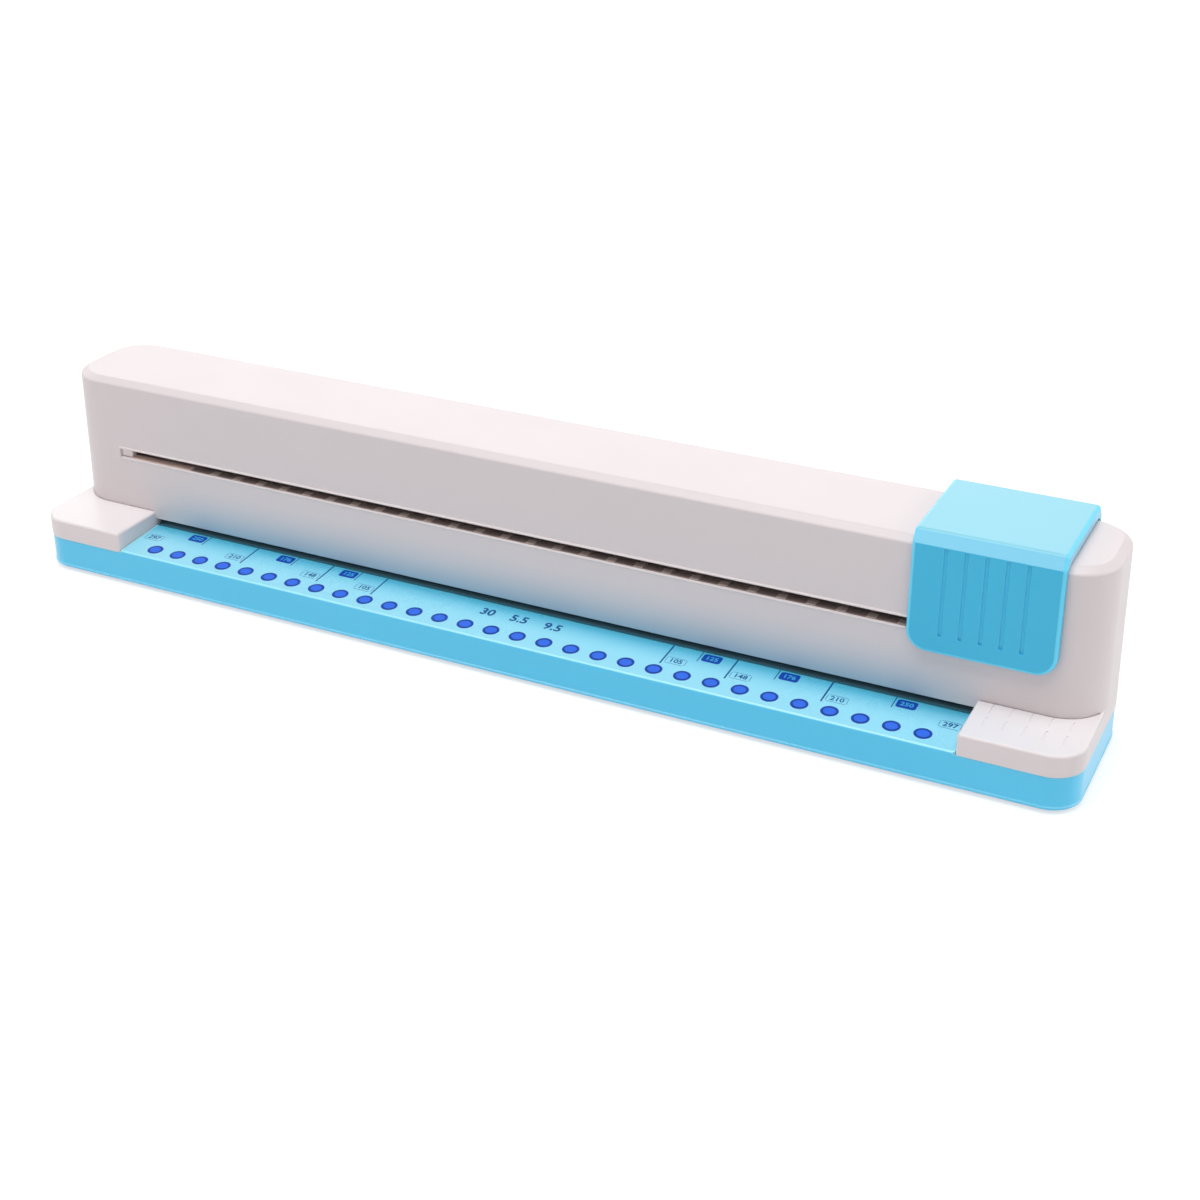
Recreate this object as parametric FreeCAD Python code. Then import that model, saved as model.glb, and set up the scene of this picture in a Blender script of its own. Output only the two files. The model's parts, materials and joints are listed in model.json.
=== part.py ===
"""Thirty-hole sliding paper punch.

A sheet lies on the blue platform between two white end wings, with its long edge in the gap
under the tower.  A cap that straddles the tower is slid from one end to the other, and the
cam in its carriage drives the thirty punch pins through the sheet one after another.

Frame: X runs along the punch, +Y points to its rear, +Z is up.  The origin is under the
middle of the whole object, on the surface that it stands on.  All sizes are millimetres.
"""
import FreeCAD
import Part

import math
import os

V = FreeCAD.Vector

# The sheet and its row of holes
hole_count = 30
hole_pitch = 9.5
hole_diameter = 5.5
hole_margin = 6.5
sheet_end_margin = 10.75
sheet_play = 1.0

# The base: deck, bottom plate and pad
base_depth = 59.6
front_corner_radius = 10.0
rear_corner_radius = 14.0
pad_thickness = 1.0
pad_inset = 2.6
base_wall_height = 11.1
base_wall = 2.2
deck_top_thickness = 2.0
base_edge_radius = 1.5
bottom_plate_thickness = 2.0
plate_clearance = 0.2
platform_front_rise = 0.8
platform_step = 0.1
platform_clearance = 0.2
chute_margin = 2.75

# The housing: two wings and the tower
housing_wall = 2.4
wing_height = 7.1
wing_edge_radius = 0.9
tower_depth = 38.7
tower_side_height = 52.7
tower_draft = 0.5
tower_bevel_inset = 2.6
tower_bevel_height = 1.6
paper_gap = 2.2
gap_lip_step = 0.2
slot_rise = 25.9
slot_height = 3.0
slot_lip = 0.4
wing_groove_length = 14.0
wing_groove_width = 0.8
wing_groove_depth = 0.15

# The steel punching frame
die_thickness = 2.0
channel_sheet = 1.6
channel_height = 9.6
frame_half_depth = 11.5
frame_end_margin = 6.0
channel_wall_clearance = 0.4
channel_upper_reach = 6.5
pin_clearance = 0.05
stop_rivet_count = 7
stop_rivet_end_inset = 14.0
stop_rivet_diameter = 2.0
stop_rivet_head = 3.0
stop_rivet_head_height = 0.8
frame_screw_spacing = 10.0
bracket_sheet = 2.0
bracket_half_width = 8.0
bracket_foot = 7.8
bracket_clearance = 1.3
rail_sheet = 2.0
rail_lip = 1.6
rail_lip_height = 5.8
rail_side_clearance = 0.9
rail_neck_length = 13.0
rail_top_clearance = 0.2

# The punch pins and their springs
pin_tip_clearance = 0.3
pin_overtravel = 0.5
pin_notch = 0.6
pin_head_rim = 1.05
pin_head_thickness = 2.6
pin_top_clearance = 0.8
spring_wire = 0.8
spring_bore_clearance = 0.25
spring_turns = 3
spring_end_gap = 0.02

# The sliding cap and its carriage
cap_length = 44.6
cap_proud = 2.8
cap_lean = 0.9
cap_clearance = 0.45
cap_skirt = 5.5
cap_shoulder_rise = 1.6
cap_bevel_inset = 2.5
cap_bevel_height = 3.9
cap_top_clearance = 0.6
cap_corner_radius = 6.5
cap_edge_radius = 1.2
cap_ridge_radius = 1.6
groove_count = 5
groove_pitch = 6.0
groove_width = 1.0
groove_depth = 0.35
groove_bottom_rise = 6.5
groove_top_drop = 1.5
dimple_diameter = 1.7
dimple_depth = 0.5
tongue_thickness = 2.2
tongue_half_length = 8.4
tongue_end_clearance = 0.2
bumper_length = 4.5
bumper_recess = 0.4
bumper_seat_clearance = 0.1
bumper_flange = 0.7
carriage_wall_clearance = 0.4
carriage_end_margin = 0.5
carriage_sheet = 2.0
carriage_screw_spacing = 10.0
carriage_screw_edge = 0.8
cheek_thickness = 2.5
cheek_inner_half = 8.0
cheek_rail_gap = 1.95
cheek_chamfer = 3.6
cam_half_length = 7.2
cam_flat_half = 2.2
cam_half_width = 4.0
cam_lost_motion = 0.4
cam_side_clearance = 0.1
cam_lift_clearance = 0.2
cam_flange_height = 5.0
parking_clearance = 0.15
roller_radius = 5.5
roller_side_clearance = 0.4
roller_cam_gap = 1.3
roller_clearance = 0.05
roller_chamfer = 0.5
axle_diameter = 4.0
axle_clearance = 0.05
axle_head_diameter = 6.0
axle_head_thickness = 1.0

# The waste door in the underside
window_end_margin = 6.25
window_front_margin = 12.2
window_front_corner_radius = 2.0
window_rear_corner_radius = 6.0
window_rim = 1.0
door_clearance = 0.5
door_thickness = 1.5
door_rise = 0.2
door_front_corner_radius = 4.0
door_recess = 4.2
door_rear_recess = 3.0
door_cove = 6.5
door_band = 8.0
door_rim = 1.0
tab_spacing = 100.0
tab_length = 21.0
tab_depth = 6.4
tab_thickness = 1.4
tab_lip = 0.5
tab_lip_length = 2.0
hinge_pin_diameter = 2.4
hinge_pin_length = 2.4
hinge_clearance = 0.1
hinge_lift = 0.2
hinge_setback = 4.2
hinge_ear_wall = 1.6
chamber_margin = 3.0
chamber_wall = 1.5
chamber_screw_gap = 0.2

# Screws
screw_diameter = 3.0
screw_head_diameter = 4.6
screw_head_height = 1.5
screw_play = 0.2
thread_play = 0.04
screw_end_gap = 0.2
boss_wall = 1.2
boss_foot_gap = 0.7
cover_screw_length = 4.5
cover_screw_end_inset = 18.0
cover_screw_front_inset = 9.0
cover_screw_rear_inset = 32.0
cover_screw_spacing = 104.5
bottom_screw_end_gap = 1.1
bottom_screw_wall_gap = 0.6
bottom_screw_side_inset = 74.0
bottom_screw_end_inset = 10.0
bottom_screw_front_inset = 19.0
driver_slot_width = 0.6
driver_slot_length = 2.6
driver_slot_depth = 0.7

# How far a cut runs past the faces that it opens
overcut = 1.0

# Places along the punch, from the row of holes outwards
pin_places = [hole_pitch * (i - (hole_count - 1) / 2) for i in range(hole_count)]
last_pin_x = pin_places[-1]
pin_head_diameter = hole_diameter + 2 * pin_head_rim
wing_inner_x = last_pin_x + sheet_end_margin + sheet_play / 2
parking_x = last_pin_x + pin_head_diameter / 2 + parking_clearance + cam_half_length
slot_half = parking_x + tongue_half_length + tongue_end_clearance + bumper_length
roller_spread = cam_half_length + roller_cam_gap + roller_radius
carriage_half_length = roller_spread + roller_radius + carriage_end_margin
bracket_x = parking_x + carriage_half_length + bracket_clearance
frame_half = bracket_x + bracket_foot
half_length = frame_half + frame_end_margin
frame_screw_x = bracket_x + (bracket_sheet + bracket_foot) / 2
window_half_length = last_pin_x + window_end_margin
chute_half = last_pin_x + hole_diameter / 2 + chute_margin

# Heights, from the table upwards
seam_z = pad_thickness + base_wall_height
deck_under_z = seam_z - deck_top_thickness
plate_top_z = pad_thickness + bottom_plate_thickness
wing_top_z = seam_z + wing_height
shoulder_z = seam_z + tower_side_height
tower_top_z = shoulder_z + tower_bevel_height
ceiling_z = tower_top_z - housing_wall
slot_floor_z = seam_z + slot_rise
slot_top_z = slot_floor_z + slot_height
die_top_z = seam_z + die_thickness
platform_back_z = die_top_z - platform_step
channel_under_z = die_top_z + paper_gap
channel_floor_z = channel_under_z + channel_sheet
channel_top_z = channel_under_z + channel_height
gap_lip_z = channel_under_z + gap_lip_step
rail_top_z = ceiling_z - rail_top_clearance
rail_under_z = rail_top_z - rail_sheet
tongue_z = slot_floor_z + (slot_height - tongue_thickness) / 2
tongue_top_z = tongue_z + tongue_thickness
carriage_top_z = tongue_top_z + carriage_sheet
pin_top_z = tongue_z - pin_top_clearance
pin_head_z = pin_top_z - pin_head_thickness
pin_tip_z = channel_under_z + pin_tip_clearance
pin_stroke = pin_tip_z - seam_z + pin_overtravel
cam_rest_z = pin_top_z + cam_lost_motion
cam_drop = cam_lost_motion + pin_stroke
cam_flange_z = carriage_top_z + cam_drop + cam_lift_clearance
roller_z = rail_under_z - roller_clearance - roller_radius
cap_bottom_z = slot_floor_z - cap_skirt
cap_shoulder_z = shoulder_z + cap_shoulder_rise
cap_top_z = cap_shoulder_z + cap_bevel_height
frame_seat_z = channel_floor_z + bracket_sheet
frame_screw_end_z = plate_top_z + boss_foot_gap + boss_wall

# Places across the punch, from its front to its rear
base_front_y = -(base_depth + cap_proud) / 2
base_rear_y = base_front_y + base_depth
base_middle_y = (base_front_y + base_rear_y) / 2
tower_front_y = base_rear_y - tower_depth
tower_half = tower_depth / 2
punch_y = base_rear_y - tower_half
frame_front_y = punch_y - frame_half_depth
frame_rear_y = punch_y + frame_half_depth
stop_y = punch_y + hole_margin
rivet_y = (stop_y + frame_rear_y - channel_sheet) / 2
slot_face = tower_half - tower_draft * slot_rise / tower_side_height
bumper_back = slot_face - housing_wall - bumper_flange
cheek_outer_half = cheek_inner_half + cheek_thickness
roller_half_width = cheek_inner_half - roller_side_clearance
rail_half_width = cheek_outer_half + axle_head_thickness + rail_side_clearance + rail_lip

# Holes and places of the fasteners
pin_bore = hole_diameter + 2 * pin_clearance
rivet_hole = stop_rivet_diameter + thread_play
screw_hole = screw_diameter + screw_play
thread_hole = screw_diameter + thread_play
boss_radius = screw_diameter / 2 + boss_wall
carriage_half_width = bumper_back - carriage_wall_clearance
carriage_screw_reach = carriage_half_width - carriage_screw_edge - thread_hole / 2
tongue_reach = carriage_screw_reach - screw_head_diameter / 2
rear_boss_y = base_rear_y - housing_wall - boss_radius + tower_draft
bottom_boss_inset = base_wall + boss_radius + bottom_screw_wall_gap

# The waste door and its chamber
door_z = pad_thickness + door_rise
chamber_rear_y = rear_boss_y - screw_head_diameter / 2 - chamber_screw_gap
window_front_y = base_front_y + window_front_margin
window_rear_y = chamber_rear_y - chamber_wall - door_clearance - tab_depth
door_front_y = window_front_y + door_clearance
door_rear_y = window_rear_y - door_clearance
door_half = window_half_length - door_clearance
hinge_y = door_front_y + hinge_setback
hinge_z = plate_top_z + hinge_pin_diameter / 2 + hinge_clearance + hinge_lift
chamber_half = window_half_length + chamber_margin + chamber_wall
chamber_front_y = window_front_y - chamber_margin - chamber_wall


def on_both_sides(places):
    """The given places of the right half, and their mirror images in the left half."""
    return places + [(-x, y) for x, y in places]


cover_screw_places = on_both_sides([
    (half_length - cover_screw_end_inset, base_front_y + cover_screw_front_inset),
    (half_length - cover_screw_rear_inset, rear_boss_y),
    (cover_screw_spacing / 2, rear_boss_y)])
bottom_screw_places = on_both_sides([
    (half_length - bottom_screw_side_inset, base_front_y + bottom_boss_inset),
    (half_length - bottom_screw_side_inset, base_rear_y - bottom_boss_inset),
    (half_length - bottom_screw_end_inset, base_front_y + bottom_screw_front_inset)])
frame_screw_places = on_both_sides([
    (frame_screw_x, punch_y - frame_screw_spacing / 2),
    (frame_screw_x, punch_y + frame_screw_spacing / 2)])
carriage_screw_places = [
    (parking_x + along * carriage_screw_spacing / 2, punch_y + across * carriage_screw_reach)
    for along in (-1, 1) for across in (-1, 1)]
stop_rivet_pitch = 2 * (wing_inner_x - stop_rivet_end_inset) / (stop_rivet_count - 1)
stop_rivet_places = [(stop_rivet_pitch * (i - (stop_rivet_count - 1) / 2), rivet_y)
                     for i in range(stop_rivet_count)]
roller_places = (parking_x - roller_spread, parking_x + roller_spread)


def box(x0, x1, y0, y1, z0, z1):
    """Block between the given limits, whichever way round each pair is given."""
    (x0, x1), (y0, y1), (z0, z1) = sorted((x0, x1)), sorted((y0, y1)), sorted((z0, z1))
    return Part.makeBox(x1 - x0, y1 - y0, z1 - z0, V(x0, y0, z0))


def rod(diameter, start, end):
    """Round bar between two points."""
    a, b = V(*start), V(*end)
    return Part.makeCylinder(diameter / 2, (b - a).Length, a, b - a)


def post(diameter, x, y, z0, z1):
    return rod(diameter, (x, y, z0), (x, y, z1))


def outline(x0, x1, y0, y1, front_r, rear_r, z):
    """Level rectangle with rounded corners, of one radius in front and another behind."""
    def corner(cx, cy, r, degrees):
        angles = [math.radians(degrees + step) for step in (0, 45, 90)]
        return Part.Arc(*(V(cx + r * math.cos(t), cy + r * math.sin(t), z) for t in angles))

    arcs = [corner(x1 - front_r, y0 + front_r, front_r, -90),
            corner(x1 - rear_r, y1 - rear_r, rear_r, 0),
            corner(x0 + rear_r, y1 - rear_r, rear_r, 90),
            corner(x0 + front_r, y0 + front_r, front_r, 180)]
    edges = []
    for arc, following in zip(arcs, arcs[1:] + arcs[:1]):
        edges.append(arc.toShape())
        edges.append(Part.LineSegment(arc.EndPoint, following.StartPoint).toShape())
    return Part.Wire(edges)


def slab(x0, x1, y0, y1, front_r, rear_r, z0, z1):
    """Upright prism on a rounded rectangle."""
    face = Part.Face(outline(x0, x1, y0, y1, front_r, rear_r, z0))
    return face.extrude(V(0, 0, z1 - z0))


def base_slab(inset, z0, z1):
    """Prism on the outline of the base, drawn in by an inset."""
    return slab(-half_length + inset, half_length - inset, base_front_y + inset, base_rear_y - inset,
                front_corner_radius - inset, rear_corner_radius - inset, z0, z1)


def tower_outline(inset, z):
    radius = rear_corner_radius - inset
    return outline(-half_length + inset, half_length - inset, tower_front_y + inset,
                   base_rear_y - inset, radius, radius, z)


def bar_along_x(points_yz, x0, x1):
    """Bar with the given cross-section in Y and Z."""
    wire = Part.makePolygon([V(x0, y, z) for y, z in points_yz + points_yz[:1]])
    return Part.Face(wire).extrude(V(x1 - x0, 0, 0))


def bar_along_y(points_xz, y0, y1):
    """Bar with the given cross-section in X and Z."""
    wire = Part.makePolygon([V(x, y0, z) for x, z in points_xz + points_xz[:1]])
    return Part.Face(wire).extrude(V(0, y1 - y0, 0))


def joined(shapes):
    return shapes[0].multiFuse(shapes[1:]).removeSplitter()


def without(shape, cuts):
    return shape.cut(Part.Compound(cuts)).removeSplitter()


def mirrored(shape):
    return shape.mirror(V(0, 0, 0), V(1, 0, 0))


def screw(x, y, seat_z, length, up):
    """Slotted screw: its flat head bears on seat_z and its shank points up (1) or down (-1)."""
    head_z = seat_z - up * screw_head_height
    head = post(screw_head_diameter, x, y, seat_z, head_z)
    shank = post(screw_diameter, x, y, seat_z, seat_z + up * length)
    slot = box(x - driver_slot_width / 2, x + driver_slot_width / 2, y - driver_slot_length / 2,
               y + driver_slot_length / 2, head_z, head_z + up * driver_slot_depth)
    return joined([head, shank]).cut(slot)


def base_deck():
    """Blue upper half of the base: side walls, platform, waste chute and screw bosses."""
    body = base_slab(0.0, pad_thickness, seam_z)
    foot_edges = [e for e in body.Edges if e.BoundBox.ZMax < pad_thickness + plate_clearance]
    body = body.makeFillet(base_edge_radius, foot_edges)
    body = body.cut(base_slab(base_wall, pad_thickness - overcut, deck_under_z))
    edge_x = wing_inner_x - platform_clearance
    back_y = frame_front_y - platform_clearance
    platform = bar_along_x([(base_front_y, deck_under_z), (back_y, deck_under_z),
                            (back_y, platform_back_z), (tower_front_y, platform_back_z),
                            (base_front_y, seam_z + platform_front_rise)], -edge_x, edge_x)
    radius = window_rear_corner_radius
    chamber = slab(-chamber_half, chamber_half, chamber_front_y, chamber_rear_y, radius, radius,
                   plate_top_z, deck_under_z)
    chamber = chamber.cut(slab(-chamber_half + chamber_wall, chamber_half - chamber_wall,
                               chamber_front_y + chamber_wall, chamber_rear_y - chamber_wall,
                               radius - chamber_wall, radius - chamber_wall,
                               plate_top_z - overcut, deck_under_z + overcut))
    bosses = [post(2 * boss_radius, x, y, frame_screw_end_z - boss_wall, seam_z)
              for x, y in frame_screw_places]
    bosses += [post(2 * boss_radius, x, y, plate_top_z, seam_z) for x, y in bottom_screw_places]
    cuts = [box(-chute_half, chute_half, punch_y - hole_diameter, punch_y + hole_diameter,
                deck_under_z - overcut, seam_z + overcut)]
    cuts += [post(thread_hole, x, y, frame_screw_end_z, seam_z + overcut) for x, y in frame_screw_places]
    cuts += [post(screw_hole, x, y, deck_under_z - overcut, seam_z + overcut) for x, y in cover_screw_places]
    cuts += [post(thread_hole, x, y, plate_top_z - overcut, deck_under_z) for x, y in bottom_screw_places]
    return without(joined([body, platform, chamber] + bosses), cuts)


def tab_spans():
    """Both finger tabs' notches in the window, as the lowest and highest X of each."""
    middles = (-tab_spacing / 2, tab_spacing / 2)
    return [(x - tab_length / 2, x + tab_length / 2) for x in middles]


def window_slab(margin, z0, z1):
    """Opening of the underside with the notches of the two finger tabs, grown by a margin."""
    front = window_front_y - margin
    rear = window_rear_y + margin
    half = window_half_length + margin
    front_radius = window_front_corner_radius + margin
    rear_radius = window_rear_corner_radius + margin
    notches = [box(x0 - margin, x1 + margin, base_middle_y, rear + tab_depth, z0, z1)
               for x0, x1 in tab_spans()]
    return joined([slab(-half, half, front, rear, front_radius, rear_radius, z0, z1)] + notches)


def hinge_ear():
    """Bored ear at the window's right end that holds a stub pin of the door."""
    radius = hinge_pin_diameter / 2 + hinge_ear_wall
    x, front, rear = window_half_length, hinge_y - radius, hinge_y + radius
    foot_z = pad_thickness + bottom_plate_thickness / 2
    arch = Part.Arc(V(x, front, hinge_z), V(x, hinge_y, hinge_z + radius), V(x, rear, hinge_z))
    foot = Part.makePolygon([V(x, rear, hinge_z), V(x, rear, foot_z), V(x, front, foot_z),
                             V(x, front, hinge_z)])
    blank = Part.Face(Part.Wire([arch.toShape()] + foot.Edges)).extrude(V(hinge_pin_length, 0, 0))
    return blank.cut(rod(hinge_pin_diameter + 2 * hinge_clearance, (x - overcut, hinge_y, hinge_z),
                         (x + hinge_pin_length + overcut, hinge_y, hinge_z)))


def bottom_plate():
    """Flat blue closing plate with the window of the waste door and the ears of its hinge."""
    plate = base_slab(base_wall + plate_clearance, pad_thickness, plate_top_z)
    plate = plate.cut(window_slab(0.0, pad_thickness - overcut, plate_top_z + overcut))
    ear = hinge_ear()
    cuts = []
    for x, y in bottom_screw_places:
        cuts.append(post(screw_hole, x, y, pad_thickness - overcut, plate_top_z + overcut))
        cuts.append(Part.makeCone(screw_head_diameter / 2 + screw_play, screw_diameter / 2 + screw_play,
                                  screw_head_height, V(x, y, pad_thickness), V(0, 0, 1)))
    return without(joined([plate, ear, mirrored(ear)]), cuts)


def nonslip_pad():
    """Black sheet under the whole base, open at the window."""
    window = window_slab(window_rim, -overcut, pad_thickness + overcut)
    return base_slab(pad_inset, 0.0, pad_thickness).cut(window)


def door_underside():
    """Underside of the door between its rims: a cove in front, then two slopes to the rear."""
    front, rear = door_front_y + door_rim, door_rear_y - door_rim
    turns = [math.radians(degrees) for degrees in (0, 30, 60, 90)]
    cove = [(front + door_cove * (1 - math.cos(t)), door_z + door_recess * math.sin(t)) for t in turns]
    return cove + [(rear - door_band, door_z + door_rear_recess), (rear, door_z)]


def waste_door():
    """Clear blue tray that closes the chamber, with stub hinge pins and two finger tabs."""
    under = door_underside()
    over = [(y, z + door_thickness) for y, z in under[::-1]]
    rear_edge = [(door_rear_y, door_z), (door_rear_y, door_z + door_thickness)]
    hinge_top = hinge_z + hinge_pin_diameter / 2
    front_foot = (door_front_y, door_z + door_rim)
    rear_radius = window_rear_corner_radius - door_clearance
    top_z = hinge_top + door_recess
    plan = slab(-door_half, door_half, door_front_y, door_rear_y,
                door_front_corner_radius, rear_radius, door_z, top_z)
    inner_half = door_half - door_rim
    inside = slab(-inner_half, inner_half, door_front_y + door_rim, door_rear_y - door_rim,
                  door_front_corner_radius - door_rim, rear_radius - door_rim,
                  door_z - overcut, top_z + overcut)
    skin = bar_along_x([front_foot] + under + rear_edge + over
                       + [(door_front_y, door_z + door_rim + door_thickness)], -door_half, door_half)
    rim = bar_along_x([front_foot, (door_front_y + door_rim, door_z)] + rear_edge
                      + [p for p in over if p[0] > hinge_y]
                      + [(hinge_y, hinge_top), (door_front_y + door_rim, hinge_top),
                         (door_front_y, hinge_top - door_rim)], -door_half, door_half)
    parts = [skin.common(plan), rim.common(plan.cut(inside))]
    tab_end = door_rear_y + tab_depth
    for x0, x1 in tab_spans():
        near, far = x0 + door_clearance, x1 - door_clearance
        tab_z = door_z + tab_thickness
        parts.append(box(near, far, door_rear_y - door_rim, tab_end, door_z, tab_z))
        parts.append(box(near, far, tab_end - tab_lip_length, tab_end, door_z, tab_z + tab_lip))
    for side in (-1, 1):
        parts.append(rod(hinge_pin_diameter, (side * inner_half, hinge_y, hinge_z),
                         (side * (door_half + hinge_pin_length), hinge_y, hinge_z)))
    return joined(parts)


def tower_body():
    """Outer form of the tower: drafted sides and a bevel round the top."""
    shoulder = tower_outline(tower_draft, shoulder_z)
    top = tower_outline(tower_draft + tower_bevel_inset, tower_top_z)
    sides = Part.makeLoft([tower_outline(0.0, seam_z), shoulder], True, True)
    return sides.fuse(Part.makeLoft([shoulder, top], True, True))


def tower_half_at(z):
    """Half of the drafted tower's depth at a height."""
    return tower_half - tower_draft * (z - seam_z) / tower_side_height


def slot_cut(side):
    """Long slot through the front or the rear wall, with its outer lips bevelled."""
    lip, back = slot_face - slot_lip, slot_face - housing_wall - overcut
    mouth = slot_face + slot_lip
    section = [(back, slot_floor_z), (lip, slot_floor_z), (mouth, slot_floor_z - 2 * slot_lip),
               (mouth, slot_top_z + 2 * slot_lip), (lip, slot_top_z), (back, slot_top_z)]
    return bar_along_x([(punch_y + side * y, z) for y, z in section], -slot_half, slot_half)


def wing_hollows():
    """Insides of both wings."""
    wall = housing_wall
    radius = front_corner_radius - wall
    right = slab(wing_inner_x + wall, half_length - wall, base_front_y + wall, punch_y,
                 radius, radius, seam_z - overcut, wing_top_z - wall)
    return [right, mirrored(right)]


def wing_grooves():
    """Shallow grooves in the top of the right wing, which run up to the tower."""
    middle = (wing_inner_x + half_length) / 2
    places = [middle + groove_pitch * (i - (groove_count - 1) / 2) for i in range(groove_count)]
    return [box(x - wing_groove_width / 2, x + wing_groove_width / 2, tower_front_y - wing_groove_length,
                tower_front_y, wing_top_z - wing_groove_depth, wing_top_z + overcut) for x in places]


def housing_shell():
    """White cover in one moulding: both wings and the tower, open below, slotted on both faces."""
    wings = base_slab(0.0, seam_z, wing_top_z)
    top_edges = [e for e in wings.Edges if e.BoundBox.ZMin > wing_top_z - wing_edge_radius]
    wings = wings.makeFillet(wing_edge_radius, top_edges)
    wings = without(wings, wing_grooves())
    hollow = Part.makeLoft([tower_outline(housing_wall, seam_z - overcut),
                            tower_outline(housing_wall + tower_draft, ceiling_z)], True, True)
    sheet_seat = box(-wing_inner_x, wing_inner_x, base_front_y - overcut, tower_front_y,
                     seam_z - overcut, wing_top_z + overcut)
    gap_mouth = box(-wing_inner_x, wing_inner_x, tower_front_y - overcut, punch_y,
                    seam_z - overcut, gap_lip_z)
    outside = joined([wings, tower_body()])
    cover = without(outside, [hollow, sheet_seat, gap_mouth, slot_cut(-1), slot_cut(1)] + wing_hollows())
    bosses = [post(2 * boss_radius, x, y, seam_z, wing_top_z - housing_wall / 2)
              for x, y in cover_screw_places]
    cover = joined([cover] + [boss.common(outside) for boss in bosses])
    return without(cover, [post(thread_hole, x, y, seam_z - overcut, seam_z + cover_screw_length)
                           for x, y in cover_screw_places])


def holes(diameter, places, z0, z1):
    """Cutters for upright round holes through a piece between two heights."""
    return [post(diameter, x, y, z0 - overcut, z1 + overcut) for x, y in places]


def pin_holes(z0, z1):
    return holes(pin_bore, [(x, punch_y) for x in pin_places], z0, z1)


def die_plate():
    """Lower steel plate with the cutting holes."""
    z0, z1 = seam_z, die_top_z
    plate = box(-frame_half, frame_half, frame_front_y, frame_rear_y, z0, z1)
    return without(plate, pin_holes(z0, z1) + holes(rivet_hole, stop_rivet_places, z0, z1)
                   + holes(screw_hole, frame_screw_places, z0, z1))


def gap_spacers():
    """Steel blocks at both ends that hold the channel off the die plate by the paper gap."""
    block = box(wing_inner_x, frame_half, frame_front_y, frame_rear_y, die_top_z, channel_under_z)
    right = without(block, holes(screw_hole, frame_screw_places, die_top_z, channel_under_z))
    return Part.Compound([mirrored(right), right])


def paper_stop():
    """Strip along the back of the gap that the edge of the sheet meets."""
    strip = box(-wing_inner_x, wing_inner_x, stop_y, frame_rear_y, die_top_z, channel_under_z)
    return without(strip, holes(rivet_hole, stop_rivet_places, die_top_z, channel_under_z))


def guide_channel():
    """Folded steel channel whose two flanges guide the pins."""
    front_y = tower_front_y + housing_wall + channel_wall_clearance
    long, whole = wing_inner_x, frame_half
    flange_z = channel_top_z - channel_sheet
    folds = [box(-long, long, front_y, frame_rear_y, channel_under_z, channel_floor_z),
             box(-whole, whole, frame_front_y, frame_rear_y, channel_under_z, channel_floor_z),
             box(-long, long, frame_rear_y - channel_sheet, frame_rear_y, channel_under_z, channel_top_z),
             box(-long, long, punch_y - channel_upper_reach, frame_rear_y, flange_z, channel_top_z)]
    cuts = pin_holes(channel_under_z, channel_top_z)
    cuts += holes(rivet_hole, stop_rivet_places, channel_under_z, channel_floor_z)
    cuts += holes(screw_hole, frame_screw_places, channel_under_z, channel_floor_z)
    return without(joined(folds), cuts)


def stop_rivets():
    """Rivets that clamp channel, paper stop and die plate together."""
    head_z = channel_floor_z + stop_rivet_head_height
    return Part.Compound([joined([post(stop_rivet_diameter, x, y, seam_z, channel_floor_z),
                                  post(stop_rivet_head, x, y, channel_floor_z, head_z)])
                          for x, y in stop_rivet_places])


def rail_bracket():
    """Folded steel upright at the right end that carries the rail."""
    z0, z1, sheet = channel_floor_z, rail_under_z, bracket_sheet
    inner, outer, end = bracket_x, bracket_x + sheet, frame_half
    section = [(inner, z0), (end, z0), (end, z0 + sheet), (outer, z0 + sheet),
               (outer, z1 - sheet), (end, z1 - sheet), (end, z1), (inner, z1)]
    upright = bar_along_y(section, punch_y - bracket_half_width, punch_y + bracket_half_width)
    return without(upright, holes(screw_hole, frame_screw_places, z0, z1))


def reaction_rail():
    """Steel rail under the ceiling that the carriage rollers press up against."""
    long, wide, narrow = frame_half - rail_neck_length, rail_half_width, bracket_half_width
    folds = [box(-long, long, punch_y - wide, punch_y + wide, rail_under_z, rail_top_z),
             box(-frame_half, frame_half, punch_y - narrow, punch_y + narrow, rail_under_z, rail_top_z)]
    for side in (-1, 1):
        folds.append(box(-long, long, punch_y + side * wide, punch_y + side * (wide - rail_lip),
                         rail_under_z - rail_lip_height, rail_top_z))
    return without(joined(folds), holes(thread_hole, frame_screw_places, rail_under_z, rail_top_z))


def frame_screws():
    """Screws through bracket foot, channel, spacer and die plate into the deck."""
    length = frame_seat_z - frame_screw_end_z
    return Part.Compound([screw(x, y, frame_seat_z, length, -1) for x, y in frame_screw_places])


def rail_screws():
    """Screws that hold the rail on its brackets."""
    seat_z = rail_under_z - bracket_sheet
    length = rail_top_z - seat_z - screw_end_gap
    return Part.Compound([screw(x, y, seat_z, length, 1) for x, y in frame_screw_places])


def cover_screws():
    """Screws from inside the base up into the bosses of the housing."""
    length = deck_top_thickness + cover_screw_length - screw_end_gap
    return Part.Compound([screw(x, y, deck_under_z, length, 1) for x, y in cover_screw_places])


def carriage_screws():
    """Screws from below through the cap's tongues into the carriage."""
    length = carriage_top_z - tongue_z - screw_end_gap
    return Part.Compound([screw(x, y, tongue_z, length, 1) for x, y in carriage_screw_places])


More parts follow.
